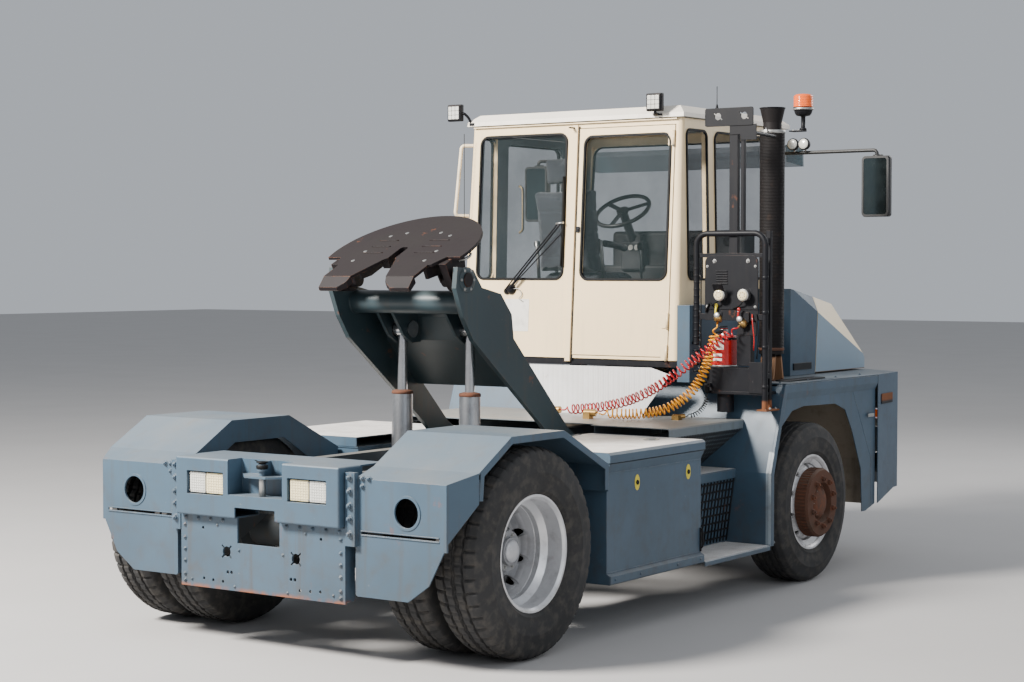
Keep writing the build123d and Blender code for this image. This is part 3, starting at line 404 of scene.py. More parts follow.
def plastic(name, base, rough=0.35, grime=0.12, coat=0.0, emit=None, sub=0.0):
    m = Mat(name)
    mid, fine = m.noise(14.0, 5, 0.6), m.noise(260.0, 2)
    colour = m.mix(m.calc("MULTIPLY", m.step(mid, 0.5, 0.75), grime), lin(*base), lin(80, 72, 62))
    m.link(colour, m.b.inputs["Base Color"])
    m.link(m.calc("ADD", rough, m.calc("MULTIPLY", mid, 0.15)), m.b.inputs["Roughness"])
    m.link(m.bump(fine, 0.08, 0.0006), m.b.inputs["Normal"])
    if coat:
        m.b.inputs["Coat Weight"].default_value = coat
    if emit:
        m.b.inputs["Emission Color"].default_value = lin(*base)
        m.b.inputs["Emission Strength"].default_value = emit
    return m.m


def glass(name, tint=(58, 70, 72), alpha=0.13):
    m = Mat(name)
    film = m.noise(2.6, 5, 0.6)
    colour = m.mix(m.step(film, 0.4, 0.75), lin(*tint), lin(*[c * 0.72 for c in tint]))
    m.link(colour, m.b.inputs["Base Color"])
    m.b.inputs["Roughness"].default_value = 0.02
    m.link(m.step(film, 0.35, 0.75, alpha, alpha + 0.08), m.b.inputs["Alpha"])
    m.b.inputs["IOR"].default_value = 1.5
    m.m.surface_render_method = "BLENDED"
    return m.m


def between(axis, lo, hi, soft=0.004):
    def mask(m):
        v = m.p[axis]
        return m.calc("MULTIPLY", m.step(v, lo - soft, lo + soft), m.step(v, hi + soft, hi - soft))
    return mask


def facing(axis, lo, hi):
    return lambda m: m.step(m.n[axis], lo, hi)


def both_masks(*masks):
    def mask(m):
        k = masks[0](m)
        for other in masks[1:]:
            k = m.calc("MULTIPLY", k, other(m))
        return k
    return mask


BODY = (66, 88, 106)
body = paint("body_paint", BODY, rust_amt=0.25, grime_amt=0.30, streak=0.30)
body_panel = paint("body_panel", BODY, rust_amt=0.15, rust_low=(0.300, 0.335), streak=0.38, grime_amt=0.34)
body_deck = paint("body_deck", (112, 122, 128), rust_amt=0.85, grime_amt=0.45, dust=0.60, dust_col=(176, 164, 148))
LINER = both_masks(between(1, -1.222, 1.222, 0.003), between(0, 1.60, 2.06, 0.01), between(2, 0.2, 1.18, 0.01))
# rear-facing faces along the right outer edge in a lighter blue than BODY: a painted highlight for the lit edge
PAINTED_HIGHLIGHT_EDGE = both_masks(between(0, 0.516, 0.560, 0.002), facing(0, -0.6, -0.9), between(1, -1.251, -1.215, 0.002))
body_front = paint("body_front", BODY, rust_amt=0.22, wear_amt=0.8,
                   regions=((LINER, (158, 146, 130), 0.85), (PAINTED_HIGHLIGHT_EDGE, (172, 184, 192), 0.35)))
def inside_cab(m):
    """Faces of the cab's shell that look inward."""
    x, y, z = m.p
    nx, ny, nz = m.n
    parts = (m.calc("MULTIPLY", m.step(nx, 0.5, 0.6), m.step(x, 0.80, 0.78)),
             m.calc("MULTIPLY", m.step(nx, -0.5, -0.6), m.step(x, 1.60, 1.62)),
             m.calc("MULTIPLY", m.step(ny, 0.5, 0.6), m.step(y, -0.30, -0.32)),
             m.calc("MULTIPLY", m.step(ny, -0.5, -0.6), m.step(y, 0.70, 0.72)),
             m.calc("MULTIPLY", m.step(nz, -0.5, -0.6), m.step(z, 2.70, 2.72)))
    k = parts[0]
    for other in parts[1:]:
        k = m.calc("MAXIMUM", k, other)
    within = m.calc("MULTIPLY", m.calc("MULTIPLY", m.step(y, -0.612, -0.606), m.step(y, 1.042, 1.036)),
                    m.step(x, 1.93, 1.90))
    return m.calc("MULTIPLY", k, within)


LINING = (122, 130, 136)
cream = paint("cream_paint", (252, 226, 180), regions=((inside_cab, LINING, 0.7),), rough=0.30, vary=0.05, grime_amt=0.06, streak=0.10, rust_amt=0.0,
              wear=(250, 240, 220), wear_amt=0.25, dust=0.10, bump=0.04, chips=0.0, coat=0.2, grime=(170, 150, 120))
roof_white = paint("roof_white", (250, 242, 228), regions=((inside_cab, LINING, 0.7),), rough=0.38, vary=0.06, grime_amt=0.10, streak=0.15, rust_amt=0.0,
                   wear_amt=0.2, dust=0.15, bump=0.06, chips=0.0, grime=(150, 140, 124))


def bonnet_side(m):
    return m.calc("MULTIPLY", m.step(m.calc("ABSOLUTE", m.n[1]), 0.94, 0.97), m.step(m.p[2], 2.0, 1.9))


# two-tone bonnet, cream top and body-blue sides; the sides are set in a lighter blue than BODY, which is painted light
# for the lit sides
bonnet_mat = paint("bonnet_paint", (246, 224, 184), rough=0.34, vary=0.06, grime_amt=0.08, streak=0.08,
                   rust_amt=0.05, dust=0.12, bump=0.05, chips=0.05, grime=(150, 130, 104),
                   regions=((bonnet_side, (138, 158, 174), 0.42),
                            (both_masks(bonnet_side, between(2, 1.262, 1.276, 0.003)), (120, 92, 66), 0.8)))
cover_mat = paint("cover_paint", BODY, rust_amt=0.12, grime_amt=0.20)
arm_mat = paint("arm_paint", (46, 62, 68), rough=0.38, grime_amt=0.28, wear=(140, 120, 100), wear_amt=0.7,
                rust_amt=0.45, dust=0.12, chips=0.5)
frame_mat = paint("frame_paint", (58, 66, 72), rough=0.6, grime_amt=0.55, rust_amt=0.5, dust=0.4)
black = paint("black_paint", (19, 20, 25), rough=0.46, grime=(40, 37, 36), grime_amt=0.20, wear=(104, 100, 98),
              wear_amt=0.35, rust_amt=0.35, dust=0.06, spec=0.22, dust_col=(110, 106, 100), chips=0.25,
              regions=((both_masks(between(2, 1.08, 1.165, 0.01), between(1, -1.26, -1.15, 0.01)),
                        (118, 74, 48), 0.85),))
greasy = paint("greasy_steel", (26, 19, 22), rough=0.52, vary=0.4, grime=(18, 15, 17), grime_amt=0.85, streak=0.1,
               wear=(138, 84, 56), wear_amt=0.95, rust_amt=0.55, dust=0.03, bump=0.35, chips=0.15, spec=0.25)
plate_cover = plate("tread_plate_cover", base=(246, 246, 246), dirt=(206, 202, 196), metallic=0.05)
TOP = facing(2, 0.90, 0.97)


def plate_on_top(name, first):
    """Body paint on the sides, tread plate where the face looks up."""
    m = paint(name, BODY, rust_amt=0.15, streak=0.18)
    nt = m.node_tree
    bsdf = next(n for n in nt.nodes if n.type == "BSDF_PRINCIPLED")
    old = bsdf.inputs["Base Color"].links[0].from_socket
    k = Mat.__new__(Mat)
    k.m, k.nt = m, nt
    tc = k.new("ShaderNodeTexCoord")
    k.co = tc.outputs["Object"]
    k.p, k.n = k.sep(k.co), k.sep(tc.outputs["Normal"])
    h = tread_mask(k)
    mid = k.noise(7.0, 6, 0.62)
    top = k.mix(k.step(mid, 0.3, 0.75), lin(250, 248, 246), lin(220, 215, 210))
    top = k.mix(k.calc("MULTIPLY", k.calc("SUBTRACT", 1.0, h), 0.28), top, lin(166, 156, 144))
    up = k.calc("MULTIPLY", k.step(k.n[2], 0.90, 0.97), k.step(k.p[2], first - 0.004, first))
    k.link(k.mix(up, old, top), bsdf.inputs["Base Color"])
    bump = bsdf.inputs["Normal"].links[0].from_socket
    b = k.new("ShaderNodeBump")
    b.inputs["Strength"].default_value = 0.6
    b.inputs["Distance"].default_value = 0.0015
    k.link(k.calc("MULTIPLY", h, up), b.inputs["Height"])
    k.link(bump, b.inputs["Normal"])
    k.link(b.outputs[0], bsdf.inputs["Normal"])
    return m


box_mat = plate_on_top("box_paint", 0.985)
step_mat = plate_on_top("step_paint", 0.25)
chrome = metal("chrome_rod", (206, 206, 208), 0.10, 0.15, 0.10, (40, 40, 4))
stage_mat = metal("stage_steel", (170, 172, 176), 0.26, 0.3, 0.3, (30, 30, 3))
barrel_mat = paint("barrel_paint", (52, 54, 58), rough=0.5, rust_amt=0.5, grime_amt=0.5)
steel = metal("bright_steel", (176, 176, 174), 0.34, 0.2, 0.3)
brass = metal("brass_fitting", (186, 150, 92), 0.32, 0.2, 0.35)
rim_mat = metal("rim_silver", (204, 205, 208), 0.38, 0.15, 0.30, (4, 4, 4), metallic=0.55)
hub_rust = metal("hub_rust", (88, 62, 50), 0.75, 0.4, 0.55, rust=0.6, metallic=0.2)


def rear_centre_mask(m):
    """The dished middle of the rear rims, inside the bright flange."""
    dx = m.calc("SUBTRACT", m.p[0], -OFF / 1000)
    dz = m.calc("SUBTRACT", m.p[2], 0.538)
    rr = m.calc("SQRT", m.calc("ADD", m.calc("MULTIPLY", dx, dx), m.calc("MULTIPLY", dz, dz)))
    return m.step(rr, 0.236, 0.215)


rim_rear = paint("rim_rear_paint", (228, 229, 232), rough=0.30, metal=0.45, vary=0.08, grime_amt=0.30, streak=0.1,
                 rust_amt=0.15, chips=0.1, dust=0.1, regions=((rear_centre_mask, (150, 152, 156), 0.5),))


def front_hub_mask(m):
    dx = m.calc("SUBTRACT", m.p[0], (3100.0 - OFF) / 1000)
    dz = m.calc("SUBTRACT", m.p[2], 0.5)
    rr = m.calc("SQRT", m.calc("ADD", m.calc("MULTIPLY", dx, dx), m.calc("MULTIPLY", dz, dz)))
    return m.calc("MULTIPLY", m.step(m.calc("ABSOLUTE", m.p[1]), 1.2215, 1.2235), m.step(rr, 0.218, 0.2155))


rim_front = paint("rim_front_paint", (226, 226, 228), rough=0.36, metal=0.4, vary=0.1, grime_amt=0.40, streak=0.1,
                  rust_amt=0.35, chips=0.2, regions=((front_hub_mask, (96, 64, 50), 0.85),))
tyre_mat = rubber("tyre_rubber", amt=0.35)
seal = rubber("seal_rubber", (11, 12, 13), (34, 33, 31), 0.2, 0.6, 0.1, spec=0.2)
cab_glass = glass("cab_glass")
visor_mat = glass("visor_tint", (44, 84, 94), 0.42)
red_gloss = paint("extinguisher_red", (176, 22, 20), rough=0.24, vary=0.2, grime_amt=0.2, streak=0.2, rust_amt=0.05,
                  wear_amt=0.3, dust=0.2, coat=0.5, bump=0.05)
white_label = plastic("label_white", (226, 222, 214), 0.5, 0.25)
yellow_mark = plastic("mark_yellow", (214, 196, 62), 0.5, 0.25)
dash_mat = rubber("dash_plastic", (38, 40, 43), (88, 84, 78), 0.2, 0.6, 0.35)
seat_shell = rubber("seat_shell", (30, 31, 34), (70, 68, 64), 0.15, 0.55, 0.3)
wheel_mat = rubber("steering_rim", (24, 25, 27), (62, 60, 56), 0.15, 0.45, 0.2)
lamp_clear = plastic("lamp_clear", (206, 206, 200), 0.12, 0.15, 0.6)
lamp_cream = plastic("lamp_cream", (228, 216, 176), 0.18, 0.15, 0.5)
amber = plastic("beacon_amber", (236, 98, 10), 0.12, 0.05, 0.8, emit=0.18)
mirror_glass = metal("mirror_glass", (84, 96, 98), 0.03, 0.05, 0.06)
mirror_case = rubber("mirror_case", (26, 27, 29), (80, 76, 70), 0.2, 0.5, 0.15)
rail_mat = paint("rail_paint", (30, 31, 33), rough=0.45, rust_amt=0.1, regions=(
    (between(0, 0.30, 0.75, 0.01), (236, 218, 188), 0.35),))


def cord_mat(name, base, grime=0.25):
    return plastic(name, base, 0.22, grime, 0.3)


hose_mats = {"hose_yellow": cord_mat("hose_yellow_gloss", (232, 158, 8)),
             "hose_red": cord_mat("hose_red_gloss", (168, 8, 20)),
             "cable_black": cord_mat("cable_black_matt", (24, 24, 26))}
for cname, piece in cords.items():
    piece.data.materials.append(hose_mats[cname])


def exhaust_paint():
    m = Mat("exhaust_skin")
    z = m.p[2]
    rings = m.calc("SINE", m.calc("MULTIPLY", z, 690.0))
    mid, big = m.noise(12.0, 6, 0.6), m.noise(2.0, 4)
    sleeve = m.calc("MULTIPLY", m.step(z, 1.44, 1.46), m.step(z, 2.80, 2.79))
    colour = m.mix(m.step(big, 0.3, 0.7), lin(30, 26, 26), lin(20, 18, 20))
    # ring troughs of the sleeve painted darker: painted shade in the grooves
    colour = m.mix(m.calc("MULTIPLY", m.step(rings, -0.2, -0.9), m.calc("MULTIPLY", sleeve, 0.6)), colour, lin(14, 13, 14))
    colour = m.mix(m.calc("MULTIPLY", m.step(mid, 0.58, 0.78), 0.25), colour, lin(84, 66, 54))
    colour = m.mix(m.step(z, 1.42, 1.40), colour, lin(148, 112, 84))
    m.link(colour, m.b.inputs["Base Color"])
    m.link(m.calc("ADD", 0.5, m.calc("MULTIPLY", mid, 0.3)), m.b.inputs["Roughness"])
    m.b.inputs["Metallic"].default_value = 0.1
    m.b.inputs["Specular IOR Level"].default_value = 0.25
    m.link(m.bump(m.calc("ADD", m.calc("MULTIPLY", rings, sleeve), m.calc("MULTIPLY", mid, 0.4)), 0.6, 0.0025),
           m.b.inputs["Normal"])
    return m.m


def holes_paint():
    """Perforated upper riser: rows of round holes with the lit body behind them."""
    m = Mat("riser_perforated")
    u = m.calc("FRACT", m.calc("ADD", m.calc("MULTIPLY", m.p[0], 31.0), 200.0))
    v = m.calc("FRACT", m.calc("ADD", m.calc("MULTIPLY", m.p[2], 34.0), 200.0))
    du, dv = m.calc("SUBTRACT", u, 0.5), m.calc("SUBTRACT", v, 0.5)
    d = m.calc("ADD", m.calc("MULTIPLY", du, du), m.calc("MULTIPLY", dv, dv))
    hole = m.step(d, 0.075, 0.045)
    mid = m.noise(12.0, 6)
    colour = m.mix(m.calc("MULTIPLY", m.step(mid, 0.4, 0.7), 0.4), lin(30, 33, 38), lin(66, 66, 64))
    colour = m.mix(m.calc("MULTIPLY", hole, m.step(m.noise(8.0, 3), 0.3, 0.6, 0.4, 1.0)), colour, lin(96, 108, 116))
    low = m.step(m.p[2], 0.70, 0.692)
    lit = m.mix(m.calc("MULTIPLY", m.step(mid, 0.4, 0.7), 0.5), lin(*BODY), lin(64, 70, 74))
    colour = m.mix(low, colour, lit)
    m.link(colour, m.b.inputs["Base Color"])
    m.link(m.calc("ADD", 0.45, m.calc("MULTIPLY", mid, 0.25)), m.b.inputs["Roughness"])
    m.link(m.bump(m.calc("MULTIPLY", m.calc("SUBTRACT", 1.0, hole), m.calc("SUBTRACT", 1.0, low)), 0.8, 0.003),
           m.b.inputs["Normal"])
    return m.m


finish = {
    "frame": frame_mat, "lift_cradle": frame_mat, "rear_axle": frame_mat, "front_axle": frame_mat, "engine": frame_mat,
    "knuckle_left": frame_mat, "knuckle_right": frame_mat, "rear_block": body, "rear_panel": body_panel,
    "rear_fenders": body, "side_boxes": box_mat, "box_lid": box_mat, "steps": step_mat,
    "step_risers": holes_paint(), "rear_deck": body_deck, "front_deck": body_front, "front_fenders": body_front,
    "bonnet": bonnet_mat, "side_cover": cover_mat, "cab_floor": black, "cab_walls": cream, "cab_roof": roof_white,
    "rear_door": cream, "side_door": cream, "cab_glass": cab_glass, "door_glass_rear": cab_glass,
    "door_glass_side": cab_glass, "dash": dash_mat, "steering_wheel": wheel_mat, "lift_frame": arm_mat,
    "fifth_wheel": greasy, "exhaust": exhaust_paint(), "coupling_rack": black, "extinguisher": red_gloss,
    "mirrors_rails": rail_mat, "tread_cover": plate_cover, "hose_couplings": brass, "sun_visor": visor_mat,
    "rims_rear_left": rim_rear, "rims_rear_right": rim_rear, "rim_front_left": rim_front, "rim_front_right": rim_front,
}
for side in ("left", "right"):
    finish["lift_barrel_" + side] = barrel_mat
    finish["lift_stage_" + side] = stage_mat
    finish["lift_rod_" + side] = chrome
for name, o in nodes.items():
    if name in finish:
        o.data.materials.clear()
        o.data.materials.append(finish[name])
        for p in o.data.polygons:
            p.material_index = 0


# ------------------------------------------------------------------- geometry
class Piece:
    """One mesh made of many small forms, each with its own material."""
    def __init__(self, name, riding, *mats):
        self.name, self.riding, self.mats = name, riding, mats
        self.bm = bmesh.new()

    def faces(self, verts, quads, mat=0, smooth_on=False):
        vs = [self.bm.verts.new(v) for v in verts]
        for q in quads:
            try:
                f = self.bm.faces.new([vs[i] for i in q])
                f.material_index = mat
                f.smooth = smooth_on
            except ValueError:
                pass
        return vs

    def box(self, lo, hi, mat=0, bevel=2.0, turn=None):
        a, b = V(*lo), V(*hi)
        mid, size = (a + b) / 2, (b - a)
        m = Matrix.Translation(mid)
        if turn is not None:
            m = m @ turn
        m = m @ Matrix.Diagonal((abs(size.x), abs(size.y), abs(size.z), 1.0))
        made = bmesh.ops.create_cube(self.bm, size=1.0, matrix=m)["verts"]
        faces = {f for v in made for f in v.link_faces}
        for f in faces:
            f.material_index = mat
        if bevel:
            edges = list({e for v in made for e in v.link_edges})
            bmesh.ops.bevel(self.bm, geom=edges, offset=bevel / 1000, segments=2, affect="EDGES", profile=0.6,
                            clamp_overlap=True, material=mat)

    def lathe(self, origin, axis, rows, seg=24, mat=0, phase=0.0, smooth_on=True):
        """rows: (radius, distance along the axis) in mm; open ends are closed where the radius is over 0."""
        o = V(*origin)
        w = Vector(axis).normalized()
        ref = Vector((0, 0, 1)) if abs(w.z) < 0.9 else Vector((1, 0, 0))
        u = w.cross(ref).normalized()
        v = w.cross(u)
        rings = []
        for r, d in rows:
            ring = []
            for i in range(seg):
                a = phase + 2 * math.pi * i / seg
                ring.append(self.bm.verts.new(o + w * (d / 1000) + (u * math.cos(a) + v * math.sin(a)) * (max(r, 0.01) / 1000)))
            rings.append(ring)
        for a, b in zip(rings[:-1], rings[1:]):
            for i in range(seg):
                f = self.bm.faces.new((a[i], a[(i + 1) % seg], b[(i + 1) % seg], b[i]))
                f.material_index, f.smooth = mat, smooth_on
        if rows[0] == rows[-1]:  # the profile closes on itself: a ring with an open bore
            return
        for ring, flip in ((rings[0], True), (rings[-1], False)):
            f = self.bm.faces.new(ring[::-1] if flip else ring)
            f.material_index = mat

    def bolt(self, at_, axis, r=9.0, h=9.0, mat=0):
        self.lathe(at_, axis, [(r * 1.45, -1.0), (r * 1.45, 1.6), (r * 1.35, 2.2)], 16, mat)
        self.lathe(at_, axis, [(r, 1.0), (r, h * 0.8), (r * 0.86, h)], 6, mat, random.random(), smooth_on=False)
        self.lathe(at_, axis, [(r * 0.5, 1.0), (r * 0.5, h * 1.3), (r * 0.38, h * 1.45)], 12, mat)

    def pipe(self, points, r, mat=0, seg=10, bend=0.0, closed=False):
        """Round bar along points in mm; bend rounds its corners."""
        pts = [V(*p) for p in points]
        if bend:
            new = [pts[0]]
            for a, b, c in zip(pts[:-2], pts[1:-1], pts[2:]):
                k = min(bend / 1000, (b - a).length * 0.45, (c - b).length * 0.45)
                s, e = b + (a - b).normalized() * k, b + (c - b).normalized() * k
                for i in range(7):
                    t = i / 6
                    new.append(s * (1 - t) ** 2 + b * 2 * t * (1 - t) + e * t * t)
            pts = new + [pts[-1]]
        rings, normal = [], None
        for i, p in enumerate(pts):
            a, b = pts[max(i - 1, 0)], pts[min(i + 1, len(pts) - 1)]
            w = (b - a).normalized()
            if normal is None:
                ref = Vector((0, 0, 1)) if abs(w.z) < 0.9 else Vector((1, 0, 0))
                normal = (ref - w * ref.dot(w)).normalized()
            normal = (normal - w * normal.dot(w)).normalized()
            side = w.cross(normal)
            rings.append([self.bm.verts.new(p + (normal * math.cos(2 * math.pi * j / seg)
                                                  + side * math.sin(2 * math.pi * j / seg)) * (r / 1000))
                          for j in range(seg)])
        for a, b in zip(rings[:-1], rings[1:]):
            for j in range(seg):
                f = self.bm.faces.new((a[j], a[(j + 1) % seg], b[(j + 1) % seg], b[j]))
                f.material_index, f.smooth = mat, True
        for ring, flip in ((rings[0], True), (rings[-1], False)):
            f = self.bm.faces.new(ring[::-1] if flip else ring)
            f.material_index = mat

    def band(self, loop_a, loop_b, place, d0, d1, mat=0):
        """Closed band between two loops of (u, v), from depth d0 to d1."""
        n = len(loop_a)
        rings = [[place(u, v, d) for u, v in loop] for loop, d in ((loop_a, d0), (loop_a, d1), (loop_b, d1), (loop_b, d0))]
        verts = [p for ring in rings for p in ring]
        quads = []
        for k in range(4):
            a, b = k * n, ((k + 1) % 4) * n
            quads += [(a + i, a + (i + 1) % n, b + (i + 1) % n, b + i) for i in range(n)]
        self.faces(verts, quads, mat)

    def slab(self, loop, place, d0, d1, mat=0):
        n = len(loop)
        verts = [place(u, v, d0) for u, v in loop] + [place(u, v, d1) for u, v in loop]
        quads = [tuple(range(n))[::-1], tuple(range(n, 2 * n))]
        quads += [(i, (i + 1) % n, n + (i + 1) % n, n + i) for i in range(n)]
        self.faces(verts, quads, mat)

    def done(self, slot=None, recalc=True):
        if recalc:
            bmesh.ops.recalc_face_normals(self.bm, faces=self.bm.faces)
        me = bpy.data.meshes.new(self.name)
        self.bm.to_mesh(me)
        self.bm.free()
        for m in self.mats:
            me.materials.append(m)
        o = bpy.data.objects.new(self.name, me)
        bpy.context.scene.collection.objects.link(o)
        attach(o, self.riding)
        return o


def rounded(u0, u1, v0, v1, r, n=8):
    out = []
    for cu, cv, start in ((u1 - r, v1 - r, 0), (u0 + r, v1 - r, 90), (u0 + r, v0 + r, 180), (u1 - r, v0 + r, 270)):
        for i in range(n + 1):
            a = math.radians(start + 90 * i / n)
            out.append((cu + r * math.cos(a), cv + r * math.sin(a)))
    return out


# ----------------------------------------------------------------------- tyres
def tyre_piece(name, nodes_stood, riding, R, mids, x, kind):
    p = Piece(name, riding, tyre_mat)
    seg = 288
    side = [(286, 104.5), (298, 110), (303, 119), (316, 129), (320, 133), (324, 131.5), (345, 139), (380, 142.3),
            (404, 142.5), (408, 143.8), (413, 142.0), (R - 70, 136), (R - 40, 129.5), (R - 30, 126.5), (R - 18, 120)]
    if kind == "rear":
        tread = [(-108, "s"), (-84, "s"), (-66, "s"), (-62, "g"), (-52, "g"), (-48, "c"), (-30, "c"), (-14, "c"),
                 (-10, "h"), (-4, "h"), (0, "c")]
    else:
        tread = [(-108, "r"), (-92, "r"), (-72, "r"), (-68, "g"), (-58, "g"), (-54, "r"), (-30, "r"), (-26, "g"),
                 (-17, "g"), (-13, "r"), (0, "r")]
    tread = tread + [(-y, k) for y, k in reversed(tread[:-1])]
    for mid in mids:
        rings = []
        for i in range(seg):
            a = 2 * math.pi * i / seg
            c, s = math.cos(a), math.sin(a)
            lug = i % 6
            row = [(r, -h) for r, h in side]
            if kind == "rear" and lug in (0,):
                row[-1] = (R - 26, -119)
                row[-2] = (R - 34, -124)
            for y, k in tread:
                depth = 0.0
                crown = 2.5 * (abs(y) / 108.0) ** 2
                if k == "g":
                    depth = 13.0 if kind == "rear" else 8.0
                elif k == "h":
                    depth = 9.0
                elif k == "s":
                    depth = 12.0 if lug == 0 else 0.0
                elif k == "c":
                    depth = 4.5 if (i + (2 if y > 0 else 0)) % 4 == 0 else 0.0
                elif k == "r":
                    depth = 1.6 if (i % 8 == 0 and abs(y) > 60) else 0.0
                wob = 3.0 * math.sin(a * 48) if k in ("g", "h") or abs(y) < 60 else 0.0
                edge = 9.0 if abs(y) >= 106 else 0.0
                row.append((R - 0.4 - crown - depth - edge, y + wob))
            row += [(r, h) for r, h in reversed(side)]
            if kind == "rear" and lug == 0:
                row[-len(side)] = (R - 26, 119)
                row[-len(side) + 1] = (R - 34, 124)
            rings.append([p.bm.verts.new(V(x + r * c, mid + y, R + r * s)) for r, y in row])
        n = len(rings[0])
        for i in range(seg):
            a, b = rings[i], rings[(i + 1) % seg]
            for j in range(n - 1):
                f = p.bm.faces.new((a[j], a[j + 1], b[j + 1], b[j]))
                f.smooth = j < len(side) - 1 or j >= n - len(side)
            p.bm.faces.new((a[n - 1], a[0], b[0], b[n - 1]))
    o = p.done("tyre_rubber")
    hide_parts(nodes_stood)
    return o


for side, sg in (("right", -1), ("left", 1)):
    tyre_piece("tread_rear_" + side, "tyres_rear_" + side, "wheels_rear_" + side, 538.0,
               (sg * 790.0, sg * 1115.0), 0.0, "rear")
    tyre_piece("tread_front_" + side, "tyre_front_" + side, "wheel_front_" + side, 500.0, (sg * 1120.0,), 3100.0,
               "front")
    # wheel nuts and hub caps
    p = Piece("nuts_rear_" + side, "wheels_rear_" + side, steel, rim_mat, seal)
    for i in range(10):
        a = 2 * math.pi * i / 10
        at_ = (146 * math.cos(a), sg * 960.0, 538 + 146 * math.sin(a))
        p.lathe(at_, (0, sg, 0), [(24, 0), (24, 5), (21, 7)], 18, 0)
        p.lathe(at_, (0, sg, 0), [(19, 5), (19, 26), (16, 30)], 6, 0, smooth_on=False)
    for i in range(8):
        a = 2 * math.pi * (i + 0.5) / 8
        p.bolt((86 * math.cos(a), sg * 1070.5, 538 + 86 * math.sin(a)), (0, sg, 0), 8, 8, 0)
    p.lathe((0, sg * 1090, 538), (0, sg, 0), [(58, 0), (58, 6), (50, 14), (30, 19), (0, 20)], 32, 1)
    p.pipe([(262, sg * 960, 600), (268, sg * 1040, 606), (262, sg * 1110, 602)], 4, 2, 8, 20)
    p.done("rim_paint")
    p = Piece("nuts_front_" + side, "wheel_front_" + side, hub_rust, steel)
    for i in range(10):
        a = 2 * math.pi * (i + 0.5) / 10
        at_ = (3100 + 148 * math.cos(a), sg * 1304.0, 500 + 148 * math.sin(a))
        p.lathe(at_, (0, sg, 0), [(23, 0), (23, 7), (19, 8)], 18, 0)
        p.lathe(at_, (0, sg, 0), [(17.5, 6), (17.5, 22), (14, 27)], 6, 0, smooth_on=False)
        p.lathe(at_, (0, sg, 0), [(9, 20), (9, 34), (7, 36)], 12, 0)
    for i in range(60):
        a = 2 * math.pi * i / 60
        t = Matrix.Rotation(-a, 4, "Y")
        cx, cz = 3100 + 214.5 * math.cos(a), 500 + 214.5 * math.sin(a)
        p.box((cx - 2.2, sg * 1226 - (0 if sg > 0 else 66), cz - 4.5), (cx + 2.2, sg * 1226 + (66 if sg > 0 else 0), cz + 4.5),
              0, 0.8, t)
    p.lathe((3100, sg * 1275, 500), (0, sg, 0), [(96, 0), (96, 14), (78, 26), (40, 31), (0, 32)], 36, 0)
    for i in range(6):
        a = 2 * math.pi * i / 6
        p.bolt((3100 + 84 * math.cos(a), sg * 1286, 500 + 84 * math.sin(a)), (0, sg, 0), 7, 7, 1)
    p.done("rim_paint")

# ------------------------------------------------------------------ rear body
p = Piece("rear_bolts", "chassis", body, steel, seal)
for i in range(13):
    y = -520 + 1040 * i / 12
    if abs(y - 16) > 160:
        p.bolt((-667, y, 668), (-1, 0, 0), 8, 8, 0)
for s in (1, -1):
    for z in (628, 560, 500, 440, 370, 335):
        p.bolt((-667, s * 528, z), (-1, 0, 0), 8.5, 8, 0)
    for y, z in ((300, 640), (150, 520), (180, 330), (480, 345)):
        p.bolt((-667, s * y, z), (-1, 0, 0), 6, 6, 0)
    for z in (940, 872, 800, 736, 660):
        p.bolt((-672, s * 590, z), (-1, 0, 0), 14, 16, 0)
    for y, z in ((650, 950), (690, 950), (650, 910)):
        p.bolt((-645, s * y, z - 12), (-1, 0, 0), 11, 12, 0)
    for k in range(9):
        t = k / 8
        p.lathe((-488 - 10 * t, s * 1251.0, 860 + 90 * t), (0, s, 0), [(5, -6), (5, -3), (3, -1.2)], 10, 0)
    # ring round the lamp hole and the groove under it
    p.band([(922 * s + 86 * math.cos(a), 784 + 86 * math.sin(a)) for a in [math.pi * i / 24 for i in range(48)]],
           [(922 * s + 72 * math.cos(a), 784 + 72 * math.sin(a)) for a in [math.pi * i / 24 for i in range(48)]],
           lambda u, v, d: V(-645 - d, u, v), -6, 3.5, 0)
    p.box((-650, s * 640, 676), (-644, s * 1120, 681), 0, 1.2)
    p.box((-650, s * 640, 655), (-644, s * 1120, 660), 0, 1.2)
p.done("body_paint")

lamps = Piece("rear_lamps", "chassis", lamp_clear, lamp_cream, seal, steel)
for s in (1, -1):
    for y0, y1, m in ((354, 462, 0), (226, 346, 1)):
        lamps.box((-699, s * y0, 806), (-664, s * y1, 913), m, 5)
        for i in range(1, 8):
            z = 806 + 107 * i / 8
            lamps.box((-701.5, s * (y0 + 6), z - 1.6), (-697, s * (y1 - 6), z + 1.6), m, 0.8)
        for i in range(1, 7):
            y = y0 + (y1 - y0) * i / 7
            lamps.box((-701.0, s * y - 1.4, 812), (-697, s * y + 1.4, 907), m, 0.7)
    lamps.box((-690, s * 345, 802), (-662, s * 355, 917), 2, 2)
    for y in (348, 460):
        for z in (816, 903):
            lamps.bolt((-699, s * y, z), (-1, 0, 0), 3.2, 2.2, 3)
lamps.done()

tow = Piece("tow_pin_head", "chassis", steel, seal)
tow.lathe((-680, -24, 950), (0, 0, 1), [(26, 0), (31, 6), (31, 18), (22, 26), (16, 30), (30, 33), (30, 39), (22, 39.8)], 28, 1)
tow.lathe((-680, -24, 812), (0, 0, 1), [(17, 0), (17, 92), (15.6, 96)], 24, 0)
tow.pipe([(-676, -24, 986), (-660, 20, 984), (-640, 60, 988)], 3, 1, 8, 20)
tow.done("bright_steel")

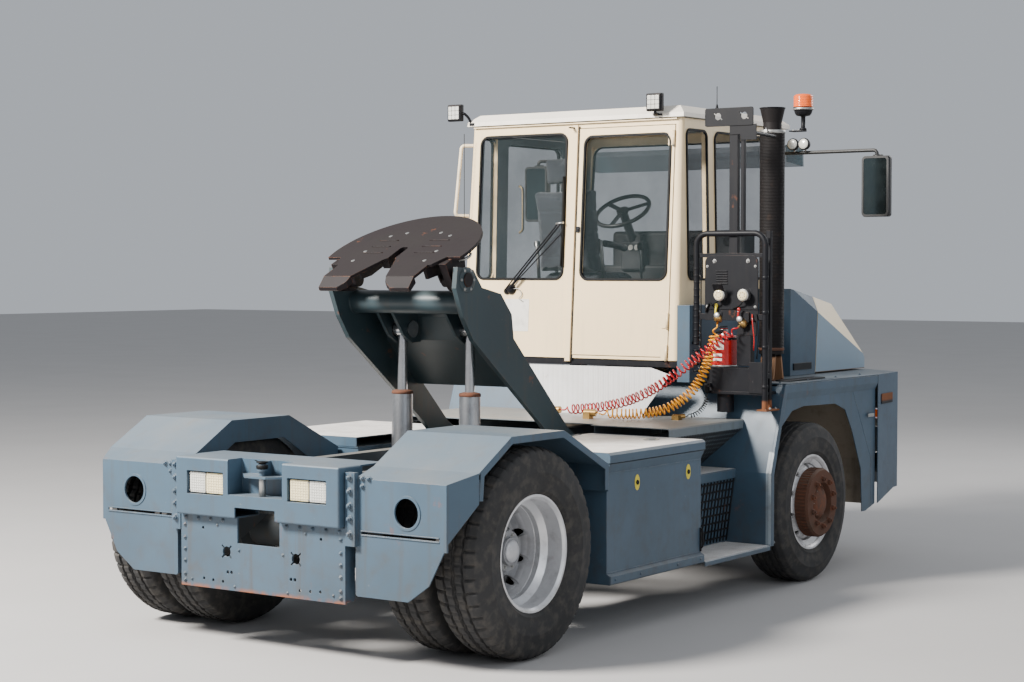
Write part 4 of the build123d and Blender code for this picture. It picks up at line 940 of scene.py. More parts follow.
# -------------------------------------------------------------- side boxes etc.
p = Piece("box_details", "chassis", black, yellow_mark, steel, body)
for x, z, w, h in ((1003, 808, 25, 43), (1559, 819, 25, 43)):
    loop = [(x + w * math.cos(a), z + h * math.sin(a)) for a in [math.pi * i / 16 for i in range(32)]]
    p.slab(loop, lambda u, v, d: V(u, -1224 - d, v), -1, 1.4, 1)
    p.lathe((x, -1225, z), (0, -1, 0), [(13, 0), (13, 5), (10, 6.5)], 20, 0)
p.pipe([(1700, -1230, 480), (1700, -1240, 470), (1700, -1240, 379), (1700, -1230, 369)], 5, 0, 10, 8)
p.box((1692, -1232, 486), (1703, -1222, 350), 0, 2)
for s in (1, -1):
    # folded frame round the box's outer face, and foot bolts
    for x0, x1, z0, z1 in ((704, 1692, 344, 352), (704, 1692, 874, 882)):
        p.box((x0, s * 1222, z0), (x1, s * 1226.5, z1), 3, 1.2)
    for x in (740, 1000, 1400, 1660):
        p.bolt((x, s * 1250, 312), (0, s, 0), 6, 5, 3)
p.done("body_paint")

lid = Piece("lid_details", "box_lid", steel, body)
lid.lathe((1510, -1010, 992), (0, 0, 1), [(46, 0), (46, 3), (42, 4.2)], 32, 0)
ring = [(1510 + 30 * math.cos(a), -1010 + 22 * math.sin(a), 999) for a in [2 * math.pi * i / 24 for i in range(25)]]
lid.pipe(ring, 4, 0, 8)
for x in (880, 1200, 1520):
    lid.box((x - 50, -500, 992), (x + 50, -479, 996), 1, 1.5)
    for k in (-32, 32):
        lid.bolt((x + k, -490, 996), (0, 0, 1), 5, 4, 1)
lid.done("body_paint")

grate = Piece("step_grating", "chassis", black)
for s in (1, -1):
    y_at = lambda z: 1002.5 - 53 * (690 - z) / 394
    for i in range(8):
        z = 330 + 340 * i / 7
        grate.box((1722, s * (y_at(z) - 3), z - 5), (2508, s * (y_at(z) + 7), z + 5), 0, 1.2)
    for i in range(20):
        x = 1740 + 40 * i
        grate.pipe([(x, s * (y_at(300) + 5), 304), (x, s * (y_at(686) + 5), 686)], 4.5, 0, 8)
grate.done("black_paint")

# ------------------------------------------------------------------- cab walls
def on_rear(u, v, d):
    return V(2480 + 0.0661 * (v - 1351) - d, u, v)


def on_right(u, v, d):
    return V(u, -619.5 + 0.0199 * (v - 1351) - d, v)


def on_left(u, v, d):
    return V(u, 1052.5 - 0.0199 * (v - 1351) + d, v)


def on_front(u, v, d):
    return V(3822 + 0.0995 * (v - 1351) + d, u, v)


def window(p, place, u0, u1, v0, v1, r=52, proud=3.0, cream_i=0, seal_i=1, web=True):
    """Rounded corners and the rubber seal of a window."""
    hole = rounded(u0, u1, v0, v1, r)
    if web:
        for cu, cv, sx, sy, start in ((u1, v1, -1, -1, 0), (u0, v1, 1, -1, 90), (u0, v0, 1, 1, 180), (u1, v0, -1, 1, 270)):
            arc = []
            for i in range(9):
                a = math.radians(start + 90 * i / 8)
                arc.append((cu + sx * r + r * math.cos(a), cv + sy * r + r * math.sin(a)))
            p.slab([(cu, cv)] + (arc if start in (0, 180) else arc), place, -20, proud - 3.0 + 0.2, cream_i)
    inner = rounded(u0 + 11, u1 - 11, v0 + 11, v1 - 11, max(r - 10, 10))
    outer = rounded(u0 - 4, u1 + 4, v0 - 4, v1 + 4, r + 4)
    mid_o = rounded(u0 - 1, u1 + 1, v0 - 1, v1 + 1, r + 1)
    p.band(outer, mid_o, place, -2, proud + 1.5, seal_i)
    p.band(mid_o, inner, place, -6, proud + 4.5, seal_i)


cab = Piece("cab_seals", "chassis", cream, seal, steel)
window(cab, on_rear, 256, 945, 1895, 2841, 60)
window(cab, on_right, 2625, 2893, 1895, 2841, 48)
window(cab, on_right, 2986, 3749, 1895, 2841, 60)
window(cab, on_left, 2625, 2821, 1895, 2841, 48)
window(cab, on_front, -505, 938, 1895, 2841, 70)
# drip rail under the roof, and the seams of the wall panels
for y0, y1 in ((-560, 1000),):
    cab.box((2566, y0, 2897), (2588, y1, 2905), 0, 2)
cab.box((2486, 1020, 1400), (2489, 1023, 2860), 1, 0)
cab.box((2522, 200, 2868), (2590, 216, 2876), 1, 0.5)
# post beside the door
cab.slab([(176, 1372), (214, 1372), (214, 2890), (176, 2890)], on_rear, -4, 9, 0)
cab.done("cream_paint")

door = Piece("rear_door_details", "rear_door", cream, seal, black, steel)
window(door, on_rear, -520, 124, 1893, 2815, 60, proud=7.0)
# small flush lock, and a black strip beside the post: the door's edge gap, widened into painted shadow
door.slab(rounded(134, 160, 2196, 2236, 8), on_rear, 2, 9, 2)
door.lathe(tuple((on_rear(147, 2216, 9) * 1000 + Vector((OFF, 0, 0)))), (-1, 0, 0.06), [(8, 0), (8, 3), (6, 5)], 20, 2)
door.slab([(161, 1380), (169, 1380), (169, 2880), (161, 2880)], on_rear, -2, 5.5, 1)
for v in (1440, 1640, 2780):
    door.slab([(-545, v - 45), (-500, v - 45), (-500, v + 45), (-545, v + 45)], on_rear, 2, 9, 0)
    door.pipe([tuple(on_rear(-538, v - 50, 10) * 1000 + Vector((OFF, 0, 0))),
               tuple(on_rear(-538, v + 50, 10) * 1000 + Vector((OFF, 0, 0)))], 8, 0, 12)
door.done("cream_paint")

door = Piece("side_door_details", "side_door", cream, seal, black, steel)
window(door, on_left, 2965, 3636, 1780, 2815, 60, proud=7.0)
door.slab(rounded(2930, 3010, 1640, 1700, 14), on_left, 2, 14, 2)
door.slab(rounded(2940, 3000, 1652, 1676, 8), on_left, 14, 19, 3)
door.done("cream_paint")

# number square left blank
p = Piece("blank_square", "chassis", white_label)
p.slab(rounded(511, 704, 1557, 1767, 6), on_rear, -1, 1.6, 0)
p.done("cream_paint")

# wiper on the left rear window
w = Piece("wiper", "chassis", black, steel, seal)
piv = (2494, 654, 1830)
w.lathe((2512, 654, 1830), (-1, 0, 0.066), [(34, 0), (34, 8), (24, 20), (17, 30), (0, 34)], 28, 0)
w.lathe((2512, 690, 1818), (-1, 0, 0.066), [(22, 0), (22, 10), (12, 20), (0, 22)], 24, 0)
w.pipe([(2480, 654, 1834), (2478, 640, 1850), (2506, 300, 2222), (2514, 268, 2262)], 6, 0, 10, 16)
w.pipe([(2482, 690, 1822), (2482, 676, 1840), (2508, 330, 2214), (2514, 300, 2252)], 5, 0, 10, 16)
w.pipe([(2478, 640, 1842), (2508, 278, 2180), (2514, 262, 2200)], 4, 0, 8, 10)
w.pipe([(2514, 306, 2256), (2514, 250, 2262)], 7, 1, 10)
w.pipe([(2504, 262, 1985), (2522, 258, 2262), (2540, 266, 2560)], 6, 2, 8, 100)
w.slab([(252, 1980), (272, 1980), (276, 2562), (256, 2562)], on_rear, 9, 15, 2)
w.pipe([(2492, 640, 1832), (2500, 600, 1840), (2502, 560, 1800), (2496, 590, 1768), (2490, 560, 1758)], 3, 1, 8, 20)
w.done("black_paint")

# ----------------------------------------------------------------- roof lamps
lp = Piece("roof_lamp_units", "chassis", black, lamp_clear, amber, seal, steel)
for y in (1115, -430):
    lp.box((2502, y - 56, 2948), (2536, y + 56, 3060), 0, 7)
    lp.box((2495, y - 50, 2954), (2504, y + 50, 3054), 0, 4)
    lp.box((2492, y - 42, 2962), (2498, y + 42, 3046), 1, 3)
    for i in range(1, 3):
        lp.box((2491, y - 42, 2962 + 84 * i / 3 - 1.2), (2496, y + 42, 2962 + 84 * i / 3 + 1.2), 0, 0.5)
    for i in range(1, 3):
        lp.box((2491, y - 42 + 84 * i / 3 - 1.2, 2962), (2496, y - 42 + 84 * i / 3 + 1.2, 3046), 0, 0.5)
    for i in range(8):
        yy = y - 46 + 92 * i / 7
        lp.box((2534, yy - 2, 2956), (2543, yy + 2, 3052), 0, 0.8)
lp.pipe([(2518, -430, 2952), (2520, -430, 2938), (2540, -430, 2930), (2566, -430, 2930)], 9, 0, 10, 10)
lp.box((2544, -460, 2922), (2584, -400, 2934), 0, 2)
lp.pipe([(2522, 1062, 3000), (2530, 1050, 2998), (2556, 1035, 2972), (2570, 1020, 2930)], 9, 0, 10, 14)
lp.box((2553, 990, 2918), (2592, 1028, 2936), 0, 2)
dome = [(66, 0)]
for i in range(13):
    z = 4 + 5.4 * i
    dome += [(64.5 if i % 2 else 67.0, z), (64.5 if i % 2 else 67.0, z + 3)]
dome += [(62, 78), (56, 84), (40, 88), (0, 89.5)]
lp.lathe((4020, -705, 3060), (0, 0, 1), dome, 40, 2)
lp.lathe((4020, -705, 2998), (0, 0, 1), [(24, 0), (44, 4), (54, 14), (60, 30), (63, 44), (68, 46), (68, 60), (64, 63)], 40, 0)
lp.lathe((4020, -705, 3040), (0, 0, 1), [(69, 0), (70.5, 2), (70.5, 12), (69, 14)], 40, 4)
lp.lathe((4020, -705, 2902), (0, 0, 1), [(24, 0), (24, 14), (15, 20), (15, 92), (22, 97)], 20, 0)
lp.box((3964, -722, 2894), (4040, -624, 2902), 0, 2)
for x, y in ((3980, -650), (3980, -690), (4025, -650)):
    lp.bolt((x, y, 2902), (0, 0, 1), 6, 5, 4)
# antenna on the roof
lp.lathe((3188, -500, 2982), (0, 0, 1), [(20, 0), (20, 8), (11, 22), (6, 46), (4, 50)], 20, 0)
lp.pipe([(3188, -500, 3020), (3188, -500, 3148)], 2.6, 0, 8)
lamp_piece = lp.done("lamp_mix")
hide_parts("roof_lamps")

# small work lights beside the mirror arm
p = Piece("arm_lights", "chassis", black, lamp_clear, steel)
for y in (-700, -782):
    p.lathe((3884, y, 2800), (-1, 0, 0.1), [(20, -46), (36, -20), (41, 0), (41, 12), (36, 15)], 28, 0)
    p.lathe((3870, y, 2801.4), (-1, 0, 0.1), [(35, 0), (33, 5), (20, 8), (0, 9)], 28, 1)
    p.pipe([(3906, y, 2770), (3906, y, 2750)], 7, 2, 10)
p.done("black_paint")

# ------------------------------------------------------------------- mirrors
for side, y0, y1, mx in (("right", -1400, -1205, 0), ("left", 1205, 1400, -120)):
    p = Piece("mirror_" + side, "chassis", mirror_case, mirror_glass, steel)
    place = lambda u, v, d: V(3872 + mx - d, u, v)
    p.band(rounded(y0 + 3, y1 - 3, 2309, 2703, 26), rounded(y0 + 16, y1 - 16, 2322, 2690, 18), place, -6, 5, 0)
    p.slab(rounded(y0 + 15, y1 - 15, 2321, 2689, 18), place, -1, 1.6, 1)
    mid = (y0 + y1) / 2
    p.lathe((3905 + mx, mid, 2690), (0, 0, 1), [(26, 0), (26, 18), (18, 26)], 20, 0)
    p.box((3898 + mx, mid - 30, 2698), (3934 + mx, mid + 30, 2716), 0, 4)
    for z in (2380, 2500, 2620):
        p.bolt((3930 + mx, mid, z), (1, 0, 0), 6, 6, 2)
    p.done("black_paint")

# ------------------------------------------------------------ exhaust details
p = Piece("stack_details", "chassis", steel, black, hub_rust)
p.lathe((3000, -1000, 2812), (0, 0, 1), [(79, 0), (82, 2), (82, 20), (79, 22)], 40, 0)
p.box((2905, -1012, 2814), (2926, -988, 2832), 0, 2)
p.pipe([(2915, -1000, 2800), (2915, -1000, 2846)], 5, 0, 8)
p.lathe((3000, -1000, 1452), (0, 0, 1), [(79, 0), (81, 2), (81, 16), (79, 18)], 40, 2)
p.lathe((3000, -1000, 2968), (0, 0, 1), [(79, 0), (82.5, 2), (82.5, 6), (79, 7.5)], 40, 1)
for x, y in ((2938, -1044), (3062, -1044), (2938, -956), (3062, -956)):
    p.box((x - 16, y - 14, 1262), (x + 16, y + 14, 1268), 2, 1.5)
    p.bolt((x, y, 1268), (0, 0, 1), 8, 7, 2)
p.done("black_paint")

# ------------------------------------------------------------- rack details
p = Piece("rack_details", "chassis", black, lamp_cream, steel, brass, yellow_mark, red_gloss, seal)
for y in (-925, -1088):
    p.lathe((2452, y, 1806), (-1, 0, 0), [(34, -44), (38, -8), (38, 0), (34, 3)], 32, 2)
    p.lathe((2450, y, 1806), (-1, 0, 0), [(31, 0), (31, 4), (24, 5), (0, 5.5)], 32, 1)
    for i in range(7):
        a = 2 * math.pi * i / 7
        p.lathe((2446, y + 17 * math.cos(a), 1806 + 17 * math.sin(a)), (-1, 0, 0), [(3.4, 0), (3.4, 3), (2, 4)], 8, 3)
p.pipe([(2470, -925, 1788), (2462, -900, 1760), (2476, -860, 1742), (2490, -838, 1760), (2492, -812, 1700)], 5, 6, 8, 24)
p.pipe([(2470, -1088, 1786), (2470, -1070, 1752), (2486, -1040, 1736), (2494, -1000, 1722)], 4, 6, 8, 20)
# panel screws and louvres
for y in (-1150, -820):
    for z in (1735, 1980):
        p.bolt((2496, y, z), (-1, 0, 0), 6, 5, 2)
for y in (-1100, -870):
    p.bolt((2496, y, 2012), (-1, 0, 0), 9, 8, 2)
for i in range(6):
    p.box((2491, -960, 1872 + 15 * i), (2497, -880, 1878 + 15 * i), 0, 1.5)
# coupling heads with their valve levers
for pt, nxt, m in (((2500, -890, 1640), (2473, -873, 1506), 4), ((2480, -1056, 1619), (2392, -952, 1516), 5)):
    a, b = Vector(pt), Vector(nxt)
    back = (a - b).normalized()
    o = a + back * 4
    p.lathe(tuple(o), back, [(24, -2), (24, 8), (28, 10), (28, 26), (23, 30), (23, 40)], 24, 3)
    p.lathe(tuple(a), back, [(8, -14), (9, 0), (24, 2)], 18, 3)
    p.lathe((a.x - 6, a.y - 2, a.z + 40), (-1, 0, 0.2), [(20, 0), (20, 12), (12, 16), (0, 17)], 20, 2)
    p.pipe([(a.x - 10, a.y + 8, a.z + 38), (a.x - 14, a.y + 6, a.z + 70), (a.x - 12, a.y + 2, a.z + 96)], 7, m, 10, 14)
    p.lathe((a.x - 12, a.y + 2, a.z + 92), (0, 0, 1), [(9, 0), (11, 6), (9, 16), (0, 20)], 16, m)
# black coiled cable's plug
p.lathe((2500, -818, 1206), (0, 0, 1), [(9, -6), (13, 0), (16, 6), (16, 40), (20, 42), (20, 52)], 20, 6)
# perforated strip beside the hoop's left leg
for i in range(16):
    z = 1330 + 42 * i
    p.lathe((2500, -742, z), (0, 0, 1), [(18.4, 0), (19.4, 3), (19.4, 9), (18.4, 12)], 20, 0)
p.pipe([(2508, -768, 1320), (2510, -768, 1990)], 4, 6, 8)
for i in range(14):
    z = 1345 + 44 * i
    p.pipe([(2508, -768, z), (2502, -744, z + 22)], 3, 2, 6)
# foot plate bolts and clips on the right leg
for x in (2494, 2560, 2628):
    p.bolt((x, -1222, 1114), (0, 0, 1), 7, 7, 2)
for z in (1240, 1480, 1690, 1900):
    p.lathe((2500, -1216, z), (0, 0, 1), [(18.5, 0), (20.5, 2), (20.5, 20), (18.5, 22)], 20, 0)
# loose loops of signal wire
p.pipe([(2496, -1160, 1690), (2484, -1168, 1640), (2488, -1176, 1560), (2494, -1168, 1480), (2500, -1160, 1420)], 4, 6, 8, 30)
p.pipe([(2496, -1130, 1690), (2482, -1140, 1630), (2486, -1150, 1540), (2498, -1140, 1470)], 4, 5, 8, 30)
p.done("black_paint")

# ---------------------------------------------------------------- extinguisher
p = Piece("extinguisher_details", "chassis", white_label, steel, seal, black)
ex, ey = 2605.0, -878.0
for z0, z1, a0, a1 in ((1470, 1528, 150, 208), (1400, 1416, 158, 200), (1428, 1444, 158, 200)):
    verts, quads, n = [], [], 12
    for i in range(n + 1):
        a = math.radians(a0 + (a1 - a0) * i / n)
        for z in (z0, z1):
            verts.append(V(ex + 85.8 * math.cos(a), ey + 85.8 * math.sin(a), z))
    for i in range(n):
        quads.append((2 * i, 2 * i + 1, 2 * i + 3, 2 * i + 2))
    p.faces(verts, quads, 0, True)
p.lathe((ex, ey, 1548), (0, 0, 1), [(34, 0), (30, 8), (26, 14), (26, 44), (20, 50), (0, 52)], 24, 1)
p.box((ex - 60, ey - 8, 1604), (ex + 30, ey + 8, 1612), 3, 2)
p.box((ex - 56, ey - 7, 1584), (ex + 20, ey + 7, 1590), 3, 2)
p.lathe((ex, ey, 1360), (0, 0, 1), [(84, 0), (87.5, 2), (87.5, 12), (85.5, 14)], 40, 1)
p.lathe((ex, ey, 1500), (0, 0, 1), [(86.0, 28), (87.6, 30), (87.6, 42), (86.0, 44)], 40, 3)
p.pipe([(ex - 26, ey, 1575), (ex - 40, ey + 34, 1578), (ex - 62, ey + 64, 1540), (ex - 66, ey + 70, 1450), (ex - 62, ey + 66, 1392)], 7, 2, 10, 26)
p.done("red_paint")

# --------------------------------------------------------------- front details
p = Piece("front_lamps", "chassis", lamp_clear, seal, amber, black, steel, white_label)
for s in (1, -1):
    nx, ny = 0.8368, s * 0.5476
    c = Vector((4576, s * 1036, 620))
    back = Vector((-nx, -ny, 0))
    o = c + back * 22
    p.lathe(tuple(o), (nx, ny, 0), [(50, -60), (66, -30), (70, 0), (70, 6), (66, 8)], 36, 3)
    p.lathe(tuple(c + back * 16), (nx, ny, 0), [(64, 0), (62, 6), (44, 14), (20, 18), (0, 19)], 36, 0)
    q = Vector((4576, s * 1036, 930))
    t = Matrix.Rotation(math.radians(s * 33.2), 4, "Z")
    for dz, m in ((32, 2), (-30, 0)):
        cc = q + back * 26
        p.box((cc.x - 18, cc.y - 88, cc.z + dz - 28), (cc.x + 18, cc.y + 88, cc.z + dz + 28), m, 5, t)
# blank plate on the right side of the nose
t = Matrix.Rotation(math.atan2(38, 400), 4, "Z")
p.box((4118, -1240.5, 1060), (4338, -1236.0, 1128), 3, 1.2, t)
# worn guard strip above the front light
p.box((3905, -1250.0, 984), (3998, -1246.5, 1006), 4, 1.2)
p.done("lamp_mix")

# hinge and seam details of the bonnet
p = Piece("bonnet_details", "bonnet", seal, steel, black)
for s in (1, -1):
    p.lathe((4020, s * 884, 1519), (0, s, 0), [(25, -8), (25, 2), (19, 4)], 28, 2)
    p.box((4300, s * 560 - 60, 1660), (4312, s * 560 + 60, 1668), 2, 2)
for i in range(7):
    x = 4330 + 36 * i
    z = 1724 - 379.0 / 350 * (x - 4270)
    p.box((x - 3, -420, z - 6), (x + 9, 420, z + 3.5), 2, 1.5, Matrix.Rotation(0.82, 4, "Y"))
p.done("black_paint")

p = Piece("cover_details", "chassis", black, steel, body)
for x in (2560, 2900, 3240):
    p.bolt((x, -716, 1700), (0, -1, 0), 7, 6, 1)
# black block at the foot of the bonnet side: painted shade standing for a dark recess
p.box((3520, -897, 1300), (3780, -889, 1345), 0, 2)
p.box((2900, -1180, 1263), (3400, -1080, 1272), 0, 2)
for x in (2770, 3150, 3550, 3920):
    for s in (1, -1):
        p.bolt((x, s * 1180, 1262), (0, 0, 1), 7, 6, 2)
p.done("body_paint")

# rivets and seams on the front side walls
p = Piece("front_seams", "chassis", body_front, steel)
for s in (1, -1):
    for x in (2600, 2720):
        p.bolt((x, s * 1231, 300 + (x - 2600) * 0), (0, s, 0), 6, 5, 0)
    for x in range(2780, 4050, 130):
        p.lathe((x, s * 1250, 1232), (0, s, 0), [(7, -4), (7, -1.6), (4, -0.4)], 12, 0)
p.done("body_paint")

# -------------------------------------------------------------- lift details
p = Piece("lift_details", "lift_frame", arm_mat, steel, greasy)
for s in (1, -1):
    p.lathe((1650, s * 458, 860), (0, s, 0), [(56, -2), (56, 6), (50, 9)], 36, 0)
    p.lathe((500, s * 448, 1905), (0, s, 0), [(70, -4), (70, 5), (64, 8), (47, 8.5)], 36, 0)
    for i in range(6):
        a = 2 * math.pi * i / 6
        p.bolt((500 + 57 * math.cos(a), s * 456, 1905 + 57 * math.sin(a)), (0, s, 0), 5.5, 5, 1)
    # weld seams along the cross tube and the web plate
    ringp = [(620 + 66 * math.cos(a), s * 419, 1780 + 66 * math.sin(a)) for a in [2 * math.pi * i / 30 for i in range(31)]]
    p.pipe(ringp, 4.5, 0, 8)
    p.pipe([(802, s * 418, 1796), (906, s * 418, 1697), (924, s * 418, 1570), (1200, s * 418, 1302)], 4.5, 0, 8)
p.done("arm_paint")

p = Piece("fifth_wheel_details", "fifth_wheel", greasy, steel)
tilt = Matrix.Rotation(math.radians(25.7), 4, "Y")


def fw(x, y, z):
    v = Matrix.Rotation(math.radians(-25.7), 3, "Y") @ Vector((x, y, z))
    return (500 + v.x, v.y, 1905 + v.z)


top = tuple(Matrix.Rotation(math.radians(-25.7), 3, "Y") @ Vector((0, 0, 1)))
for s in (1, -1):
    for x, y in ((60, 250), (260, 210), (-60, 250), (300, 120)):
        p.lathe(fw(x, s * y, 147), top, [(15, -4), (15, -0.5), (8, 0.6)], 18, 1)
    for x in (40, 120, 200):
        pts = [fw(x, s * (110 + 12 * math.sin(t / 2.0)) + s * 18 * t, 147.6) for t in range(9)]
        p.pipe(pts, 3.0, 0, 6)
p.pipe([fw(40, -300, 100), fw(40, -380, 92), fw(60, -430, 96), fw(100, -436, 96), fw(130, -420, 96)], 8, 1, 10, 24)
p.done("greasy_steel")

for side, sg in (("left", 1), ("right", -1)):
    L = math.hypot(20, 1320)
    ux, uz = 20 / L, 1320 / L
    p = Piece("gland_stage_" + side, "lift_stage_" + side, hub_rust, black)
    o = (800 + ux * 965, sg * 240, 300 + uz * 965)
    p.lathe(o, (ux, 0, uz), [(28.6, 0.3), (60.3, 0.3), (60.3, -18), (62.5, -16), (62.5, -4), (58, 1.5), (40, 6),
                             (33, 7), (28.6, 7), (28.6, 0.3)], 36, 0)
    p.done("bright_steel")
    p = Piece("gland_barrel_" + side, "lift_barrel_" + side, black, steel)
    o = (800 + ux * 582, sg * 240, 300 + uz * 582)
    p.lathe(o, (ux, 0, uz), [(60.8, 0.3), (75.3, 0.3), (75.3, -22), (76.3, -20), (76.3, -2), (74, 1.5), (64, 2.2),
                             (60.8, 2.2), (60.8, 0.3)], 36, 0)
    p.bolt((800 + ux * 120, sg * 240 + sg * 72, 300 + uz * 120), (0, sg, 0), 9, 9, 1)
    p.done("black_paint")

# --------------------------------------------------------------- interior
p = Piece("cab_fittings", "chassis", dash_mat, steel, lamp_clear, seal, cream)
p.box((3540, 290, 2150), (3575, 430, 2200), 0, 6)
for i in range(3):
    p.lathe((3530, 312 + 48 * i, 2110), (-1, 0, 0.1), [(20, 0), (20, 6), (17, 8)], 24, 2)
for i in range(4):
    p.lathe((3601, -360 + 130 * i, 2150), (-1, 0, 0.1), [(34, 0), (34, 5), (29, 6)], 24, 3)
    p.box((3594, -400 + 130 * i, 2020), (3603, -330 + 130 * i, 2060), 3, 2)
for y in (-380, -250, -120, 30, 620, 760):
    p.box((3556, y - 40, 1900), (3562, y + 40, 1950), 3, 2)
p.pipe([(3560, 600, 1985), (3520, 600, 2090), (3480, 596, 2150)], 8, 3, 10, 30)
p.lathe((3480, 596, 2140), (0, 0, 1), [(16, 0), (20, 12), (16, 30), (0, 36)], 18, 3)
p.box((2960, -60, 1392), (3320, 60, 1900), 0, 20)
p.pipe([(3060, -10, 1895), (3040, -14, 2040), (3030, -14, 2100)], 7, 1, 10, 20)
p.lathe((3030, -14, 2090), (0, 0, 1), [(14, 0), (20, 14), (18, 40), (0, 52)], 18, 3)
# inside grab handle
p.pipe([(3000, 930, 2530), (3000, 900, 2510), (3000, 900, 2230), (3000, 930, 2210)], 9, 4, 10, 20)
p.done("dash_plastic")


def cushion(name, corners_lo, corners_hi, mats, turn=None, about=None, voxel=0.0085, cap=0.024, shrink=0.012,
            cuts=()):
    """Padded block: a box mesh, remeshed, swelled by cloth pressure, with seams pressed in afterwards."""
    lo, hi = V(*corners_lo), V(*corners_hi)
    bm = bmesh.new()
    mid, size = (lo + hi) / 2, hi - lo
    m = Matrix.Translation(mid) @ Matrix.Diagonal((size.x - 2 * shrink, size.y - 2 * shrink, size.z - 2 * shrink, 1))
    bmesh.ops.create_cube(bm, size=1.0, matrix=m)
    bmesh.ops.bevel(bm, geom=bm.edges[:], offset=0.022, segments=3, affect="EDGES", profile=0.5)
    if turn is not None:
        c = V(*about)
        bmesh.ops.transform(bm, matrix=Matrix.Translation(c) @ turn @ Matrix.Translation(-c), verts=bm.verts)
    me = bpy.data.meshes.new(name)
    bm.to_mesh(me)
    bm.free()
    o = bpy.data.objects.new(name, me)
    bpy.context.scene.collection.objects.link(o)
    bpy.context.view_layer.objects.active = o
    o.select_set(True)
    r = o.modifiers.new("remesh", "REMESH")
    r.mode = "VOXEL"
    r.voxel_size = voxel
    bpy.ops.object.modifier_apply(modifier="remesh")
    start = [v.co.copy() for v in o.data.vertices]
    c = o.modifiers.new("cloth", "CLOTH")
    c.settings.use_pressure = True
    c.settings.uniform_pressure_force = 4.0
    c.settings.effector_weights.gravity = 0.0
    c.settings.quality = 4
    c.point_cache.frame_start, c.point_cache.frame_end = 1, 20
    for f in range(1, 21):
        bpy.context.scene.frame_set(f)
    bpy.ops.object.modifier_apply(modifier="cloth")
    bpy.context.scene.frame_set(1)
    for v, s in zip(o.data.vertices, start):
        d = v.co - s
        if d.length > cap:
            v.co = s + d.normalized() * cap
    # sewn channels: lines at given places along an axis, pressed in
    o.data.update()
    for axis, place, depth, width in cuts:
        for v in o.data.vertices:
            q = v.co if turn is None else (V(*about) + turn.to_3x3().inverted() @ (v.co - V(*about)))
            k = math.exp(-((q[axis] - place) / width) ** 2)
            if k > 0.02:
                v.co -= v.normal * depth * k
    for f in o.data.polygons:
        f.use_smooth = True
    for mm in mats:
        o.data.materials.append(mm)
    o.select_set(False)
    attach(o, "chassis")
    return o


def cloth_mat():
    m = Mat("seat_cloth_weave")
    wx = m.calc("SINE", m.calc("MULTIPLY", m.p[1], 2400.0))
    wz = m.calc("SINE", m.calc("MULTIPLY", m.calc("ADD", m.p[2], m.p[0]), 2400.0))
    weave = m.calc("MULTIPLY", wx, wz)
    mid = m.noise(9.0, 5)
    colour = m.mix(m.step(weave, -0.6, 0.6), lin(42, 45, 52), lin(62, 66, 74))
    colour = m.mix(m.calc("MULTIPLY", m.step(mid, 0.45, 0.7), 0.35), colour, lin(30, 31, 35))
    m.link(colour, m.b.inputs["Base Color"])
    m.b.inputs["Roughness"].default_value = 0.92
    m.b.inputs["Sheen Weight"].default_value = 0.3
    m.link(m.bump(m.calc("ADD", weave, m.noise(90.0, 3)), 0.5, 0.0008), m.b.inputs["Normal"])
    return m.m


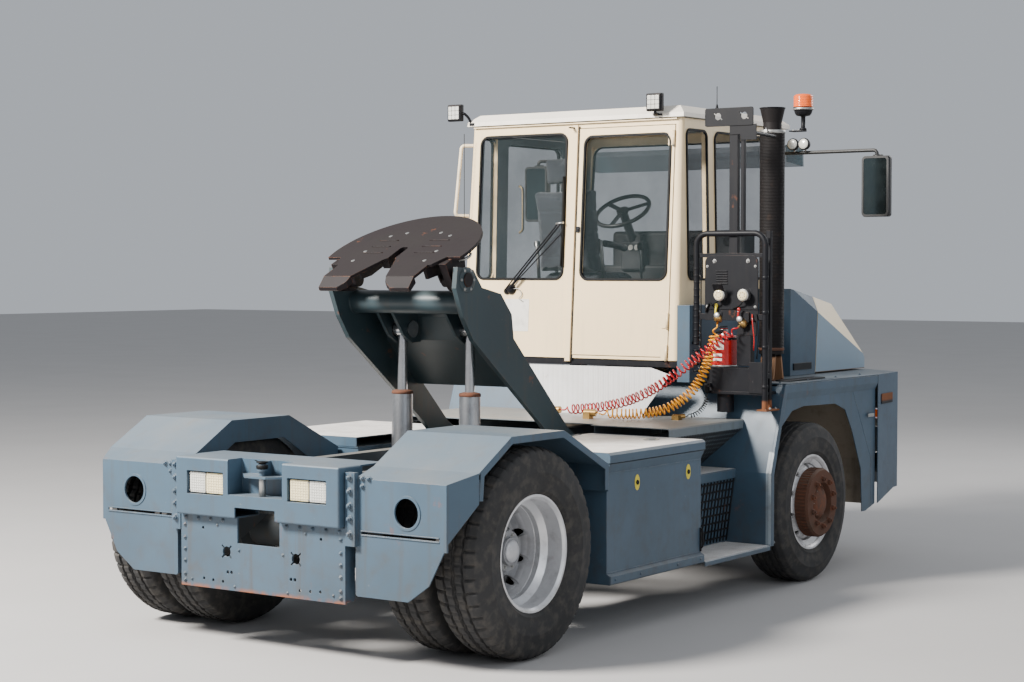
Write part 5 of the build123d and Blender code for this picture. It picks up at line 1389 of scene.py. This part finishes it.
cloth = cloth_mat()
lean = Matrix.Rotation(math.radians(-8), 4, "Y")
cushion("seat_cushion", (2752, 112, 1822), (3228, 608, 1930), [cloth],
        cuts=((0, V(2890, 0, 0).x, 0.006, 0.006), (0, V(3040, 0, 0).x, 0.006, 0.006)))
cushion("seat_backrest", (2690, 108, 1916), (2794, 612, 2504), [cloth], lean, (2740, 360, 2210),
        cuts=((2, 2.05, 0.006, 0.006), (2, 2.20, 0.006, 0.006), (2, 2.35, 0.006, 0.006)))
cushion("seat_headrest", (2648, 218, 2506), (2728, 502, 2696), [cloth], lean, (2688, 360, 2600), cap=0.018)
base = Piece("seat_base", "chassis", seat_shell, steel, seal)
base.box((2810, 190, 1392), (3150, 530, 1440), 0, 8)
for i in range(7):
    z = 1440 + 50 * i
    base.box((2822 + (i % 2) * 10, 204 + (i % 2) * 10, z), (3138 - (i % 2) * 10, 516 - (i % 2) * 10, z + 50), 2, 12)
base.box((2770, 140, 1790), (3210, 580, 1824), 0, 12)
for y in (326, 394):
    base.pipe([(2716, y, 2470), (2702, y, 2560)], 7, 1, 10)
for y in (92, 628):
    base.pipe([(2760, y, 2130), (2890, y, 2120), (3010, y, 2100)], 22, 0, 12, 40)
base.pipe([(2770, 108, 1900), (2756, 108, 2060), (2740, 108, 2150)], 12, 1, 10, 30)
base.pipe([(2770, 612, 1900), (2756, 612, 2060), (2740, 612, 2150)], 12, 1, 10, 30)
seat_piece = base.done("seat_cloth")
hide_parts("seat")

# ----------------------------------------------------------------------- stage
bm = bmesh.new()
bmesh.ops.create_grid(bm, x_segments=2, y_segments=2, size=60.0)
fm = bpy.data.meshes.new("floor")
bm.to_mesh(fm)
bm.free()
floor = bpy.data.objects.new("floor", fm)
bpy.context.scene.collection.objects.link(floor)
g = Mat("floor_grey")
g.link(g.mix(g.noise(0.8, 4), lin(170, 168, 167), lin(180, 178, 177)), g.b.inputs["Base Color"])
g.b.inputs["Roughness"].default_value = 0.9
floor.data.materials.append(g.m)

world = bpy.data.worlds.new("studio")
bpy.context.scene.world = world
world.use_nodes = True
bg = world.node_tree.nodes["Background"]
bg.inputs[0].default_value = lin(212, 218, 226)
bg.inputs[1].default_value = 0.70


def area(name, loc, target, size, power, colour=(1, 1, 1)):
    d = bpy.data.lights.new(name, "AREA")
    d.energy, d.size, d.color = power, size, colour
    d.shape = "DISK"
    o = bpy.data.objects.new(name, d)
    bpy.context.scene.collection.objects.link(o)
    o.location = loc
    o.rotation_mode = "QUATERNION"
    o.rotation_quaternion = (Vector(target) - Vector(loc)).to_track_quat("-Z", "Y")


area("key", (-9.5, 4.5, 9.0), (0, 0, 1.0), 3.0, 5600, (1.0, 0.96, 0.90))
area("fill", (-5.0, -10.0, 5.0), (0, 0, 1.2), 7.0, 240, (0.93, 0.96, 1.0))
area("front", (10.0, -3.0, 6.0), (0, 0, 1.2), 6.0, 360)
